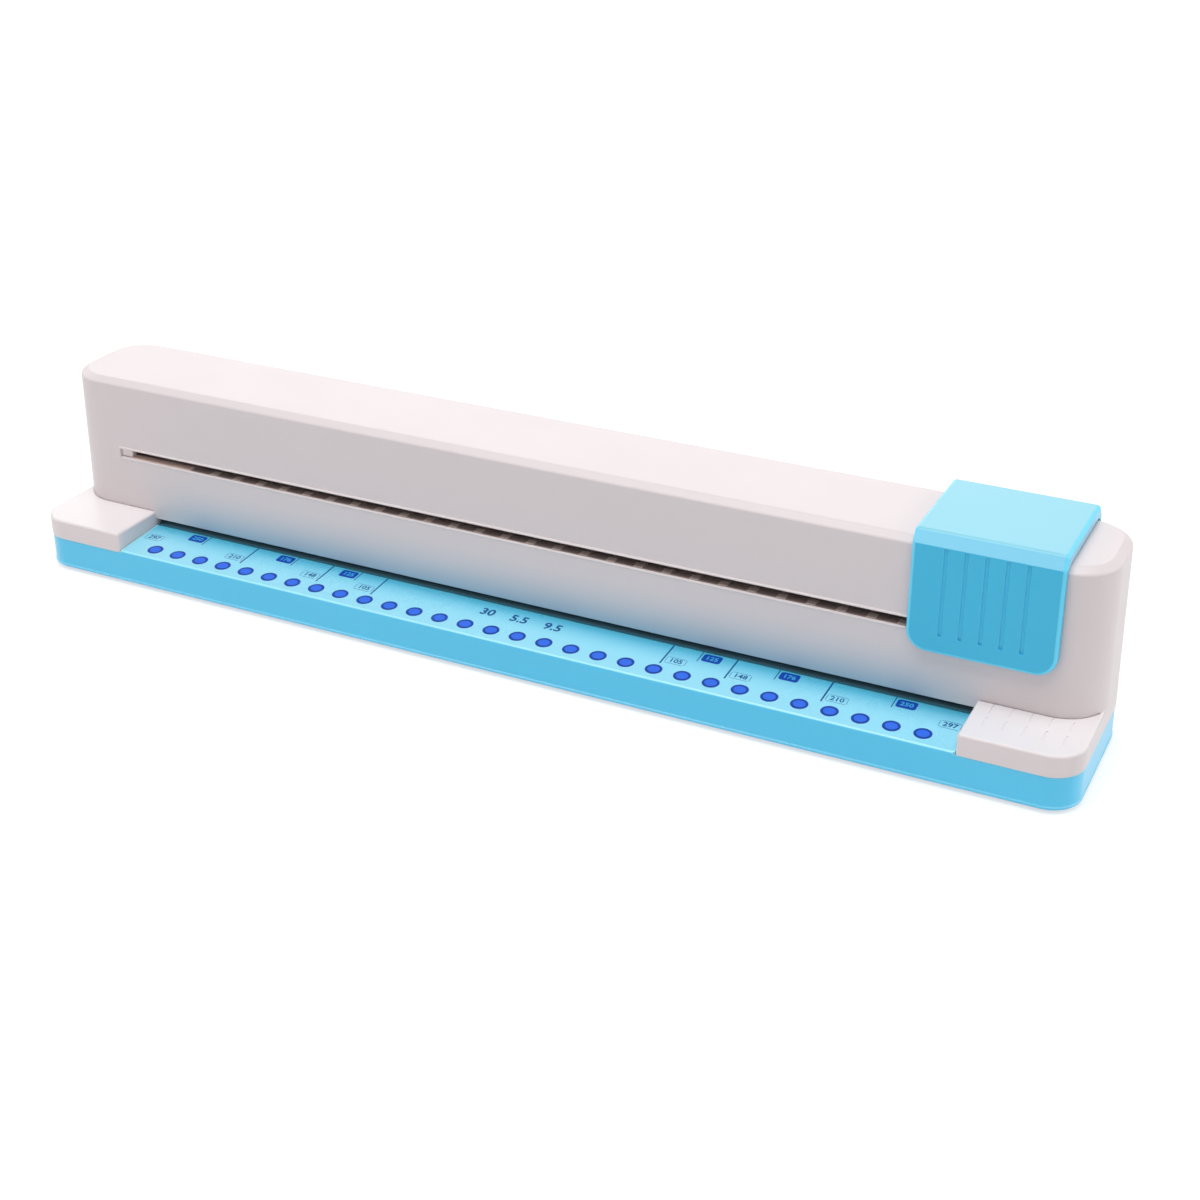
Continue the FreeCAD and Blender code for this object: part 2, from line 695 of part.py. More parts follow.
def bottom_screws():
    """Countersunk screws that hold the bottom plate, hidden by the pad."""
    screws = []
    for x, y in bottom_screw_places:
        head = Part.makeCone(screw_head_diameter / 2, screw_diameter / 2, screw_head_height,
                             V(x, y, pad_thickness), V(0, 0, 1))
        shank = post(screw_diameter, x, y, pad_thickness + screw_head_height / 2,
                     deck_under_z - bottom_screw_end_gap)
        screws.append(joined([head, shank]))
    return Part.Compound(screws)


def punch_pin(x):
    """Steel pin with a flat head and a notched cutting end."""
    head = post(pin_head_diameter, x, punch_y, pin_head_z, pin_top_z)
    shank = post(hole_diameter, x, punch_y, pin_tip_z, pin_head_z)
    side, low = hole_diameter / 2, pin_tip_z - overcut
    notch = bar_along_y([(x - side, low), (x - side, pin_tip_z), (x, pin_tip_z + pin_notch),
                         (x + side, pin_tip_z), (x + side, low)],
                        punch_y - hole_diameter, punch_y + hole_diameter)
    return joined([head, shank]).cut(notch)


def smooth_pair(start, start_way, end, end_way):
    """Two arcs that meet smoothly and leave and arrive along the given directions."""
    chord, ways = end - start, start_way + end_way
    spread = 2 * (1 - start_way.dot(end_way))
    along = chord.dot(ways)
    reach = (math.sqrt(along ** 2 + spread * chord.dot(chord)) - along) / spread
    first, last = start + start_way * reach, end - end_way * reach
    meeting = (first + last) * 0.5
    arcs = []
    for a, control, b in ((start, first, meeting), (meeting, last, end)):
        weight = (b - a).Length / reach
        arcs.append(Part.Arc(a, (a + control * weight + b) * (1 / (2 + weight)), b).toShape())
    return arcs


def return_spring():
    """Open coil round the shank of the pin at x = 0, between the channel and the pin's head."""
    radius = hole_diameter / 2 + spring_bore_clearance + spring_wire / 2
    z0 = channel_top_z + spring_end_gap + spring_wire / 2
    z1 = pin_head_z - spring_end_gap - spring_wire / 2
    whole_turn = 2 * math.pi * spring_turns

    def place(t):
        return V(radius * math.cos(t), punch_y + radius * math.sin(t), z0 + (z1 - z0) * t / whole_turn)

    def way(t):
        return V(-radius * math.sin(t), radius * math.cos(t), (z1 - z0) / whole_turn).normalize()

    stations = [math.pi / 2 * i for i in range(4 * spring_turns + 1)]
    edges = []
    for t0, t1 in zip(stations, stations[1:]):
        edges += smooth_pair(place(t0), way(t0), place(t1), way(t1))
    path = Part.Wire(edges)
    ring = Part.Wire([Part.Circle(place(0), way(0), spring_wire / 2).toShape()])
    coil = path.makePipeShell([ring], True, False)
    turns = [[place(t + 2 * math.pi * i) for t in stations[:4]] for i in range(spring_turns)]
    gap = min((a - b).Length for low, high in zip(turns, turns[1:]) for a in low for b in high) - spring_wire
    print("spring: least gap between turns %.2f, volume %.2f, wire section times length %.2f"
          % (gap, coil.Volume, math.pi * spring_wire ** 2 / 4 * path.Length))
    return coil


def return_springs():
    """The coil of every pin."""
    coil = return_spring()
    return Part.Compound([coil.translated(V(x, 0, 0)) for x in pin_places])


def cap_half_at(z):
    """Half of the cap's outer depth at a height on its leaning side plates."""
    return tower_half + cap_proud - cap_lean * (z - cap_bottom_z) / (cap_shoulder_z - cap_bottom_z)


def cap_section(points):
    """Closed section from the points of one side, given as half depth and height."""
    return [(punch_y - half, z) for half, z in points] + [(punch_y + half, z) for half, z in points[::-1]]


def cap_profile():
    """Side view of the cap in the XZ plane: its two lower corners are rounded."""
    left, right = parking_x - cap_length / 2, parking_x + cap_length / 2
    low, high = cap_bottom_z, cap_top_z + overcut
    r = cap_corner_radius
    inset = r * (1 - math.sqrt(0.5))
    left_arc = Part.Arc(V(left, 0, low + r), V(left + inset, 0, low + inset), V(left + r, 0, low))
    right_arc = Part.Arc(V(right - r, 0, low), V(right - inset, 0, low + inset), V(right, 0, low + r))
    corners = [right_arc.EndPoint, V(right, 0, high), V(left, 0, high), left_arc.StartPoint]
    lines = [Part.LineSegment(a, b) for a, b in zip(corners, corners[1:])]
    foot = Part.LineSegment(left_arc.EndPoint, right_arc.StartPoint)
    return Part.Wire([edge.toShape() for edge in [left_arc, foot, right_arc] + lines])


def cap_blank():
    """Outer form of the cap: leaning plates with rounded lower corners, bevels and a flat top."""
    shoulder = cap_half_at(cap_shoulder_z)
    outer = [(cap_half_at(cap_bottom_z), cap_bottom_z), (shoulder, cap_shoulder_z),
             (shoulder - cap_bevel_inset, cap_top_z)]
    x0, x1 = parking_x - cap_length / 2, parking_x + cap_length / 2
    blank = bar_along_x(cap_section(outer), x0, x1)
    ridges = [e for e in blank.Edges
              if e.BoundBox.XLength > cap_length / 2 and e.BoundBox.ZMin > (cap_bottom_z + cap_top_z) / 2]
    blank = blank.makeFillet(cap_ridge_radius, ridges)
    mask = Part.Face(cap_profile()).extrude(V(0, 2 * base_depth, 0))
    blank = blank.common(mask.translated(V(0, punch_y - base_depth, 0)))
    reach = cap_corner_radius + cap_edge_radius / 10
    ends = [e for e in blank.Edges if e.BoundBox.XMax < x0 + reach or e.BoundBox.XMin > x1 - reach]
    return blank.makeFillet(cap_edge_radius, [e for e in ends if e.BoundBox.YLength < tower_half])


def cap_grooves():
    """Grip grooves down both plates, each with a dimple at its lower end."""
    cuts = []
    z0, z1 = cap_bottom_z + groove_bottom_rise, cap_shoulder_z - groove_top_drop
    lift = groove_width / 2 - groove_depth
    face = cap_half_at(z0)
    places = [parking_x + groove_pitch * (i - (groove_count - 1) / 2) for i in range(groove_count)]
    for side in (-1, 1):
        for x in places:
            low, high = ((x, punch_y + side * (cap_half_at(z) + lift), z) for z in (z0, z1))
            cuts.append(rod(groove_width, low, high))
            cuts.append(rod(dimple_diameter, (x, punch_y + side * (face - dimple_depth), z0),
                            (x, punch_y + side * (face + overcut), z0)))
    return cuts


def slider_cap():
    """Blue inverted U that is pushed along by hand, with tongues that reach in through the slots."""
    foot, top = tower_half_at(cap_bottom_z) + cap_clearance, tower_half_at(shoulder_z) + cap_clearance
    inner = [(foot, cap_bottom_z - overcut), (top, shoulder_z + cap_clearance / 2),
             (top - tower_bevel_inset, tower_top_z + cap_top_clearance)]
    x0, x1 = parking_x - cap_length / 2 - overcut, parking_x + cap_length / 2 + overcut
    pieces = [cap_blank().cut(bar_along_x(cap_section(inner), x0, x1))]
    root = tower_half_at(tongue_z) + cap_clearance + cap_proud / 2
    for side in (-1, 1):
        pieces.append(box(parking_x - tongue_half_length, parking_x + tongue_half_length,
                          punch_y + side * tongue_reach, punch_y + side * root, tongue_z, tongue_top_z))
    screw_holes = holes(screw_hole, carriage_screw_places, tongue_z, tongue_top_z)
    return without(joined(pieces), cap_grooves() + screw_holes)


def carriage_frame():
    """Steel carriage inside the tower: a plate on the cap's tongues and two cheeks for the axles."""
    x0, x1 = parking_x - carriage_half_length, parking_x + carriage_half_length
    low, high, chamfer = carriage_top_z, rail_under_z - cheek_rail_gap, cheek_chamfer
    section = [(x0, low), (x1, low), (x1, high - chamfer), (x1 - chamfer, high), (x0 + chamfer, high),
               (x0, high - chamfer)]
    pieces = [box(x0, x1, punch_y - carriage_half_width, punch_y + carriage_half_width, tongue_top_z, low),
              bar_along_y(section, punch_y - cheek_outer_half, punch_y - cheek_inner_half),
              bar_along_y(section, punch_y + cheek_inner_half, punch_y + cheek_outer_half)]
    half, width = cam_half_length + cam_side_clearance, cam_half_width + cam_side_clearance
    cuts = [box(parking_x - half, parking_x + half, punch_y - width, punch_y + width,
                tongue_top_z - overcut, low + overcut)]
    cuts += holes(thread_hole, carriage_screw_places, tongue_top_z, low)
    cuts += [axle_bar(x, axle_diameter + thread_play, cheek_outer_half + overcut) for x in roller_places]
    return without(joined(pieces), cuts)


def press_cam():
    """Hardened wedge that drives the pins down, with a flange that lands on the carriage."""
    flank_z = cam_rest_z + cam_half_length - cam_flat_half
    near, far = parking_x - cam_half_length, parking_x + cam_half_length
    section = [(parking_x - cam_flat_half, cam_rest_z), (parking_x + cam_flat_half, cam_rest_z),
               (far, flank_z), (far, cam_flange_z), (near, cam_flange_z), (near, flank_z)]
    stem = bar_along_y(section, punch_y - cam_half_width, punch_y + cam_half_width)
    half = cheek_inner_half - cam_side_clearance
    flange = box(near, far, punch_y - half, punch_y + half, cam_flange_z, cam_flange_z + cam_flange_height)
    return joined([stem, flange])


def axle_bar(x, diameter, reach):
    """Round bar across the carriage on a roller's axis, as long as twice its reach."""
    return rod(diameter, (x, punch_y - reach, roller_z), (x, punch_y + reach, roller_z))


def top_roller(x):
    """Steel roller between the cheeks, running against the rail."""
    body = axle_bar(x, 2 * roller_radius, roller_half_width)
    body = body.makeChamfer(roller_chamfer, [e for e in body.Edges if isinstance(e.Curve, Part.Circle)])
    return body.cut(axle_bar(x, axle_diameter + 2 * axle_clearance, roller_half_width + overcut))


def roller_axle(x):
    """Axle with a head at one end and a retaining disc at the other."""
    pieces = [axle_bar(x, axle_diameter, cheek_outer_half)]
    end_half = cheek_outer_half + axle_head_thickness
    for side in (-1, 1):
        pieces.append(rod(axle_head_diameter, (x, punch_y + side * cheek_outer_half, roller_z),
                          (x, punch_y + side * end_half, roller_z)))
    return joined(pieces)


def end_bumpers():
    """White plugs in the right ends of the two slots, which stop the cap's tongues."""
    plugs = []
    x0, x1 = slot_half - bumper_length, slot_half
    for side in (-1, 1):
        back = punch_y + side * bumper_back
        face = punch_y + side * (slot_face - slot_lip - bumper_recess)
        seat = back + side * (bumper_flange - bumper_seat_clearance)
        plugs.append(joined([box(x0, x1, back, face, slot_floor_z, slot_top_z),
                             box(x0, x1 + bumper_flange, back, seat,
                                 slot_floor_z - bumper_flange, slot_top_z + bumper_flange)]))
    return Part.Compound(plugs)


def all_nodes():
    """Every sub-part by name."""
    right_bracket, right_bumpers = rail_bracket(), end_bumpers()
    left_x, right_x = roller_places
    nodes = {
        "base_deck": base_deck(),
        "bottom_plate": bottom_plate(),
        "nonslip_pad": nonslip_pad(),
        "waste_door": waste_door(),
        "housing_shell": housing_shell(),
        "die_plate": die_plate(),
        "gap_spacers": gap_spacers(),
        "paper_stop": paper_stop(),
        "guide_channel": guide_channel(),
        "stop_rivets": stop_rivets(),
        "rail_bracket_left": mirrored(right_bracket),
        "rail_bracket_right": right_bracket,
        "reaction_rail": reaction_rail(),
        "frame_screws": frame_screws(),
        "rail_screws": rail_screws(),
        "cover_screws": cover_screws(),
        "bottom_screws": bottom_screws(),
        "end_bumpers_left": mirrored(right_bumpers),
        "end_bumpers_right": right_bumpers,
        "return_springs": return_springs(),
        "slider_cap": slider_cap(),
        "carriage_frame": carriage_frame(),
        "carriage_screws": carriage_screws(),
        "press_cam": press_cam(),
        "top_roller_left": top_roller(left_x),
        "top_roller_right": top_roller(right_x),
        "roller_axle_left": roller_axle(left_x),
        "roller_axle_right": roller_axle(right_x),
    }
    for number, x in enumerate(pin_places, 1):
        nodes["punch_pin_%02d" % number] = punch_pin(x)
    return nodes


os.makedirs("parts", exist_ok=True)
for name, shape in all_nodes().items():
    shape.exportStep("parts/" + name + ".step")
    extent = shape.BoundBox
    print("%-18s solids %2d  volume %9.1f  x %.1f..%.1f  y %.1f..%.1f  z %.1f..%.1f" % (
        name, len(shape.Solids), shape.Volume, extent.XMin, extent.XMax,
        extent.YMin, extent.YMax, extent.ZMin, extent.ZMax))
print("cap travel %.1f, cam drop %.1f, pin stroke %.1f" % (2 * parking_x, cam_drop, pin_stroke))
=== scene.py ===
# %% [markdown]
# # A thirty-hole paper punch
#
# This desk punch is a long blue base with a white housing over it.  A sheet lies on the blue
# platform between two white wings, and its edge goes into a gap under the tower.  A blue cap
# straddles the tower and is pushed along it, and the wedge inside drives thirty steel pins
# down one after another.  The notebook loads the exact solid model first.  Then it builds the
# moulded skins, the turned and pressed steel, and the printed marks round it, and gives each
# of them a finish.  The loaded model stays as it is, so that every new piece sits where the
# real one does.

# %% Load the solid model
import contextlib
import inspect
import json
import math

import bmesh
import bpy
from mathutils import Matrix, Vector

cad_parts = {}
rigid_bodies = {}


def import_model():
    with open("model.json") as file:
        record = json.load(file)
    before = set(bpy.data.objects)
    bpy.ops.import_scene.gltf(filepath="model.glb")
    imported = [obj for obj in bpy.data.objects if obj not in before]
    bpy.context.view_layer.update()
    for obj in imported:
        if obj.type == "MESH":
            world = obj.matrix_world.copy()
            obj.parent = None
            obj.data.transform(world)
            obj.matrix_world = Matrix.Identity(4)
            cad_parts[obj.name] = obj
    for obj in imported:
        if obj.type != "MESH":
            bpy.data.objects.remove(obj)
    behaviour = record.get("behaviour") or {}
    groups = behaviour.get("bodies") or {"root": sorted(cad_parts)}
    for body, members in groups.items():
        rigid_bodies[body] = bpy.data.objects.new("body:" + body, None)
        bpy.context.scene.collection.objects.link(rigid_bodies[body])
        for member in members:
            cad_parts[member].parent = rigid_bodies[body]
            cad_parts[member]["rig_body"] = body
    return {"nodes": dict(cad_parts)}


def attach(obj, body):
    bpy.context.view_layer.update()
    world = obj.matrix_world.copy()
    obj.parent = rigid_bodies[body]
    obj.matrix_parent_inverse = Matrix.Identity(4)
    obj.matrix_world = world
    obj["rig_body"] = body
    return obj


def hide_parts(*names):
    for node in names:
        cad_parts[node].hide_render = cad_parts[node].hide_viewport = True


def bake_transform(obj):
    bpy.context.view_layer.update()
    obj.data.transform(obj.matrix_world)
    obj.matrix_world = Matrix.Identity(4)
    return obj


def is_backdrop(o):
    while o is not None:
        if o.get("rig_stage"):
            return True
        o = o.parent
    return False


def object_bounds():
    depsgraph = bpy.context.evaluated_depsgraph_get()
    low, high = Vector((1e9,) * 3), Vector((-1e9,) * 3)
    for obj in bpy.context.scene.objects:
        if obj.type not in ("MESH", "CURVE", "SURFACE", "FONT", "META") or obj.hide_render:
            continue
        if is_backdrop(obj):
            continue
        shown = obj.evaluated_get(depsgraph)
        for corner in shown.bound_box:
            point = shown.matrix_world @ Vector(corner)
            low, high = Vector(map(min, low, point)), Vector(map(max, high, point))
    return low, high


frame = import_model()
solid_box = [list(corner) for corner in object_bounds()]
nodes = frame["nodes"]
mm = 0.001
print("solid pieces:", len(nodes))
print("solid box in mm:", [[round(v / mm, 1) for v in corner] for corner in solid_box])

# %% [markdown]
# ## Camera
#
# The photograph was taken from the right of the front and from above.  The place and the
# lens were worked out from the printed row of dots, whose spacing is known, and from the
# long edges of the base.  The axes of the camera are built from three angles here, because
# that is easier to read than a rotation in quaternions.

# %% Place the camera
scene = bpy.context.scene


def linked(name, data):
    """New object in the scene for a mesh, a lamp, a camera or a curve."""
    made = bpy.data.objects.new(name, data)
    scene.collection.objects.link(made)
    return made


def setup(thing, **values):
    """Set several properties of a thing, and give it back."""
    for word, value in values.items():
        setattr(thing, word, value)
    return thing


def toward(azimuth, elevation):
    """Unit vector from the punch towards a viewer at two angles in degrees."""
    turned, lifted = math.radians(azimuth), math.radians(elevation)
    return Vector((math.sin(turned) * math.cos(lifted), -math.cos(turned) * math.cos(lifted),
                   math.sin(lifted)))


camera_place, camera_roll = Vector((0.26653, -0.49320, 0.30609)), math.radians(0.21)
camera_azimuth, camera_elevation = 26.345, 24.008
lens_px, frame_px, sensor_mm = 1923.3, 1200.0, 36.0
middle_px = (602.3, 478.6)

camera = linked("camera", bpy.data.cameras.new("camera"))
setup(camera.data, sensor_width=sensor_mm, lens=lens_px / frame_px * sensor_mm, clip_start=0.02,
      clip_end=50.0, shift_x=0.5 - middle_px[0] / frame_px, shift_y=middle_px[1] / frame_px - 0.5)
toward_camera = toward(camera_azimuth, camera_elevation)
level = toward(camera_azimuth + 90, 0)
upward = toward_camera.cross(level)
across = level * math.cos(camera_roll) - upward * math.sin(camera_roll)
upright = upward * math.cos(camera_roll) + level * math.sin(camera_roll)
turn = Matrix((across, upright, toward_camera)).transposed()
camera.matrix_world = Matrix.Translation(camera_place) @ turn.to_4x4()
bpy.context.scene.camera = camera
print("lens in mm:", round(camera.data.lens, 2))

# %% [markdown]
# ## Wires
#
# A finish is a graph of small nodes, and most of them do one step of arithmetic.  Set out
# node by node, such a graph is long and hard to follow.  Here a wire stands for the output of
# a node, and a sum or a product of wires makes the math node for it.  A mask then reads like
# the formula that it is, and Blender gets the same graph that one would draw by hand.

# %% Wires and the nodes between them
class Wire:
    """Output of a node that is used in sums like a number."""

    def __init__(self, tree, socket):
        self.tree, self.socket = tree, socket

    def calc(self, operation, *others):
        """Math node on this wire and on the others, which are wires or numbers."""
        return node(self.tree, "Math", (self, *others), operation=operation)

    def __add__(self, other):
        return self.calc("ADD", other)

    def __sub__(self, other):
        return self.calc("SUBTRACT", other)

    def __rsub__(self, other):
        return node(self.tree, "Math", (other, self), operation="SUBTRACT")

    def __mul__(self, other):
        return self.calc("MULTIPLY", other)

    def __truediv__(self, other):
        return self.calc("DIVIDE", other)

    def held(self):
        """The same wire, held between 0 and 1."""
        self.socket.node.use_clamp = True
        return self


def feed(tree, socket, value):
    """Link a wire to an input, or put a plain value on it; a colour of three gets full alpha."""
    if isinstance(value, Wire):
        tree.links.new(value.socket, socket)
    elif socket.type == "RGBA" and len(value) == 3:
        socket.default_value = (*value, 1.0)
    else:
        socket.default_value = value


def node(tree, kind, inputs=(), output=0, **settings):
    """New shader node, with its inputs given in order or by name; gives one output as a wire."""
    made = setup(tree.nodes.new("ShaderNode" + kind), **settings)
    for key, value in inputs.items() if isinstance(inputs, dict) else enumerate(inputs):
        feed(tree, made.inputs[key], value)
    return Wire(tree, made.outputs[output]) if len(made.outputs) else None


def ramp(value, start, end, kind="SMOOTHSTEP", low=0.0, high=1.0):
    """Value that goes from low at start to high at end."""
    limits = {"Value": value, "From Min": start, "From Max": end, "To Min": low, "To Max": high}
    return node(value.tree, "MapRange", limits, interpolation_type=kind)


def place(tree):
    """Coordinates fixed to the piece, in metres."""
    return node(tree, "TexCoord", output="Object")


# %% [markdown]
# ## Studio
#
# The product stands in a plain white studio.  One large soft lamp hangs overhead and four
# soft panels stand round the table, so that gloss shows on the upper faces from any side.
# The world gives the even part of the light.  Rays that come straight from the camera, or
# that a glossy or clear surface sends on, see plain white instead of the dimmer fill light.
# The floor is lifted to white for them too, a little more with distance from the lamps.

# %% World and lamps
scene.view_settings.view_transform = "Standard"


def only_direct(tree):
    """Value of one for rays from the camera or from a glossy or clear surface."""
    straight, glossy, clear = (node(tree, "LightPath", output="Is %s Ray" % kind)
                               for kind in ("Camera", "Glossy", "Transmission"))
    return straight.calc("MAXIMUM", glossy).calc("MAXIMUM", clear)


world = bpy.data.worlds.new("studio")
scene.world = world
world.use_nodes = True
sky = world.node_tree
sky.nodes.clear()
fill_light = node(sky, "Background", ((1.0, 0.995, 0.99), 0.26))
seen_white = node(sky, "Background", ((1.0, 1.0, 1.0), 1.0))
node(sky, "OutputWorld", [node(sky, "MixShader", (only_direct(sky), fill_light, seen_white))])


def soft_lamp(name, stand, aim, width, height, watts):
    """Rectangular lamp that the camera doesn't see, aimed at a point."""
    lamp = linked(name, bpy.data.lights.new(name, "AREA"))
    setup(lamp.data, shape="RECTANGLE", size=width, size_y=height, energy=watts)
    turned = (Vector(aim) - Vector(stand)).to_track_quat("-Z", "Y").to_euler()
    setup(lamp, location=stand, rotation_euler=turned, visible_camera=False)


soft_lamp("overhead", (0.05, -0.27, 1.2), (0, 0, 0.03), 1.2, 0.8, 10.6)
panel_distance, panel_aim = 1.25, (0, 0, 0.04)
for name, azimuth, elevation, width, height, watts in (
        ("key", -28, 38, 0.4, 0.3, 1.0), ("front_right", 52, 25, 0.8, 0.5, 0.5),
        ("back", 206, 27, 1.3, 0.6, 2.8), ("right_side", 110, 25, 1.0, 0.7, 3.8),
        ("left_side", 270, 25, 1.0, 0.7, 2.2)):
    soft_lamp(name, toward(azimuth, elevation) * panel_distance, panel_aim, width, height, watts)

# %% Floor
finishes = {}


def new_finish(name):
    """New material, kept under its name; gives the tree to add nodes to."""
    finishes[name] = bpy.data.materials.new(name)
    finishes[name].use_nodes = True
    return finishes[name].node_tree


def on_shader(tree, values):
    """Put wires and plain values on the named sockets of a material's shader."""
    for label, value in values.items():
        feed(tree, tree.nodes["Principled BSDF"].inputs[label], value)


far = 12.0
floor_mesh = bpy.data.meshes.new("floor")
floor_mesh.from_pydata([(-far, -far, 0), (far, -far, 0), (far, far, 0), (-far, far, 0)], [], [(0, 1, 2, 3)])
floor = linked("floor", floor_mesh)
floor.location.z = -0.02 * mm
floor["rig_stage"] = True
floor_tree = new_finish("floor_white")
floor_reach = node(floor_tree, "VectorMath", [place(floor_tree)], "Value", operation="LENGTH")
floor_direct = only_direct(floor_tree)
floor_glow = floor_direct * ramp(floor_reach, 0.35, 1.7, "LINEAR", 0.63, 0.90)
on_shader(floor_tree, {"Roughness": 0.7, "Emission Color": (1.0, 1.0, 1.0), "Emission Strength": floor_glow,
                       "Base Color": ramp(floor_direct, 0.0, 1.0, "LINEAR", 0.84, 0.45)})
floor.data.materials.append(finishes["floor_white"])

# %% [markdown]
# ## Shared surface effects
#
# A real finish is never one flat value.  Moulded plastic has a faint grain, a slow drift in
# tone and lighter rubbed edges, which also carry a painted highlight.  Steel has drawn or rolled
# streaks.  Foam has cells, and ink lies unevenly.  Some groups are masks for zones of painted
# light and shade.  Each effect is a node group with named sockets, written as a function of
# wires: the function's own inputs become the sockets, with their starting values.  Every
# material places the groups that it needs with its own values, so one change here reaches
# all the pieces.

# %% Builder of the node groups
def socket_label(word):
    """Label of a group's socket for a name in the code."""
    return word.replace("_", " ").title()


def effect(*outputs):
    """Make a node group from a function of wires; the names are those of the group's outputs."""
    def build(recipe):
        group = bpy.data.node_groups.new(recipe.__name__, "ShaderNodeTree")
        starts = {key: item.default for key, item in inspect.signature(recipe).parameters.items()
                  if key != "tree"}
        for word, value in starts.items():
            kind = {3: "Vector", 4: "Color"}[len(value)] if isinstance(value, tuple) else "Float"
            socket = group.interface.new_socket(socket_label(word), in_out="INPUT",
                                                socket_type="NodeSocket" + kind)
            socket.default_value = value
        for label in outputs:
            kind = "Color" if label == "Colour" else "Float"
            group.interface.new_socket(label, in_out="OUTPUT", socket_type="NodeSocket" + kind)
        given, result = group.nodes.new("NodeGroupInput"), group.nodes.new("NodeGroupOutput")
        made = recipe(group, *(Wire(group, given.outputs[socket_label(word)]) for word in starts))
        for label, wire in zip(outputs, made if isinstance(made, tuple) else (made,)):
            feed(group, result.inputs[label], wire)
        return group
    return build


def normal(tree):
    """Direction that the true surface faces."""
    return node(tree, "NewGeometry", output="Normal")


def parts(wire):
    """The X, Y and Z of a vector, each as a wire."""
    split = node(wire.tree, "SeparateXYZ", [wire]).socket.node
    return [Wire(wire.tree, socket) for socket in split.outputs]


def noise(where, scale, detail=3.0, roughness=0.5):
    """Noise texture read at a place."""
    values = {"Vector": where, "Scale": scale, "Detail": detail, "Roughness": roughness}
    return node(where.tree, "TexNoise", values, "Fac")


def mixed(share, first, second, mode="MIX"):
    """Mix of two colours by a share."""
    return node(first.tree, "Mix", {0: share, 6: first, 7: second}, 2, data_type="RGBA", blend_type=mode)


# %% Tone drift: a slow change of colour over a moulding
@effect("Colour")
def tone_drift(tree, colour=(0.8, 0.8, 0.8, 1), other_colour=(0.7, 0.7, 0.7, 1), cloud_scale=12.0,
               amount=0.5):
    """Colour that drifts between two tones in soft clouds."""
    clouds = ramp(noise(place(tree), cloud_scale, 3.0, 0.55), 0.35, 0.68, "LINEAR")
    return mixed((clouds * amount).held(), colour, other_colour)


# %% Mould grain: the fine texture that a steel mould leaves
@effect("Height", "Roughness")
def mould_grain(tree, grain_scale=2600.0, roughness=0.35, variation=0.08):
    """Fine grain as a height, and a roughness that varies with it and with handling."""
    fine = noise(place(tree), grain_scale, 2.0, 0.6)
    flow = noise(place(tree), 38.0, 4.0, 0.6)
    rough = (flow - 0.5) * variation * 2.0 + roughness + (fine - 0.5) * variation
    return fine, rough.held()


# %% Edge wear and painted highlight: edges that hands and tables have rubbed, and a painted highlight along them
@effect("Mask")
def edge_wear(tree, radius=0.0006, amount=0.5, break_up=900.0, unevenness=1.0):
    """Mask of the convex edges, for rubbed wear and a painted highlight along them, broken up so that it
    isn't even.
    """
    rounded = node(tree, "Bevel", {"Radius": radius}, "Normal", samples=4)
    facing = node(tree, "VectorMath", (rounded, normal(tree)), "Value", operation="DOT_PRODUCT")
    bend = ((1.0 - facing) * 6.0).held()
    patches = ((noise(place(tree), break_up, 3.0, 0.6) - 0.25) * 2.2).held()
    return (bend * (1.0 - (1.0 - patches) * unevenness) * amount).held()


# %% Masks for the zones of painted light and shade on a moulding
@effect("Mask")
def plate_rim(tree, middle=(0.0, 0.0, 0.0), half_size=(0.02, 10.0, 0.02), corner=0.006, width=0.001):
    """Mask of a band just inside the rounded outline of a plate that stands in X and Z, for a painted
    highlight.
    """
    def vector_step(operation, *inputs, output="Vector"):
        return node(tree, "VectorMath", inputs, output, operation=operation)

    core = vector_step("SUBTRACT", half_size, node(tree, "CombineXYZ", (corner, corner, corner)))
    reach = vector_step("ABSOLUTE", vector_step("SUBTRACT", place(tree), middle))
    beyond = vector_step("SUBTRACT", reach, core)
    outside = vector_step("LENGTH", vector_step("MAXIMUM", beyond, (0.0, 0.0, 0.0)), output="Value")
    x, _, z = parts(beyond)
    share = (corner - (outside + x.calc("MAXIMUM", z).calc("MINIMUM", 0.0))) / width
    return ramp(share, 0.04, 0.22) * ramp(share, 1.0, 0.65)


@effect("Mask")
def height_rims(tree, lower=0.001, upper=0.01, softness=0.0003):
    """Mask of what lies under a lower or over an upper height of a moulding, for painted light and shade."""
    height = parts(place(tree))[2]
    over, under = (height - upper) / softness, (lower - height) / softness
    return ramp(over, 0.0, 1.0).calc("MAXIMUM", ramp(under, 0.0, 1.0))


@effect("Mask")
def front_tint(tree, full_before=0.0, gone_behind=0.01):
    """Mask for painted light and shade, full in front of one place along Y and gone behind another."""
    return ramp(parts(place(tree))[1], gone_behind, full_before)


@effect("Mask")
def foot_glow(tree, foot=0.0, gone_above=0.01, half_length=0.1, end_fade=0.01, front=0.0):
    """Mask for painted shade and painted blue bounce light low on a front face, between two ends, over a
    coloured deck.
    """
    x, y, z = parts(place(tree))
    low = ramp(z, gone_above, foot, "LINEAR").calc("POWER", 2.0)
    between = ramp((half_length - x.calc("ABSOLUTE")) / end_fade, 0.0, 1.0)
    return low * between * y.calc("LESS_THAN", front)


@effect("Mask")
def low_tops(tree, under=0.02):
    """Mask of the faces that look up and lie under a height, for painted light on them."""
    return parts(place(tree))[2].calc("LESS_THAN", under) * ramp(parts(normal(tree))[2], 0.5, 0.95)


# %% Dust: what settles on faces that look up
@effect("Mask")
def settled_dust(tree, amount=0.1, speck_scale=700.0):
    """Mask of faint dust on upward faces, gathered in specks."""
    up = parts(normal(tree))[2].calc("MAXIMUM", 0.0).calc("POWER", 3.0)
    specks = ((noise(place(tree), speck_scale, 5.0, 0.7) - 0.5) * 4.0).held()
    return (up * specks * amount).held()


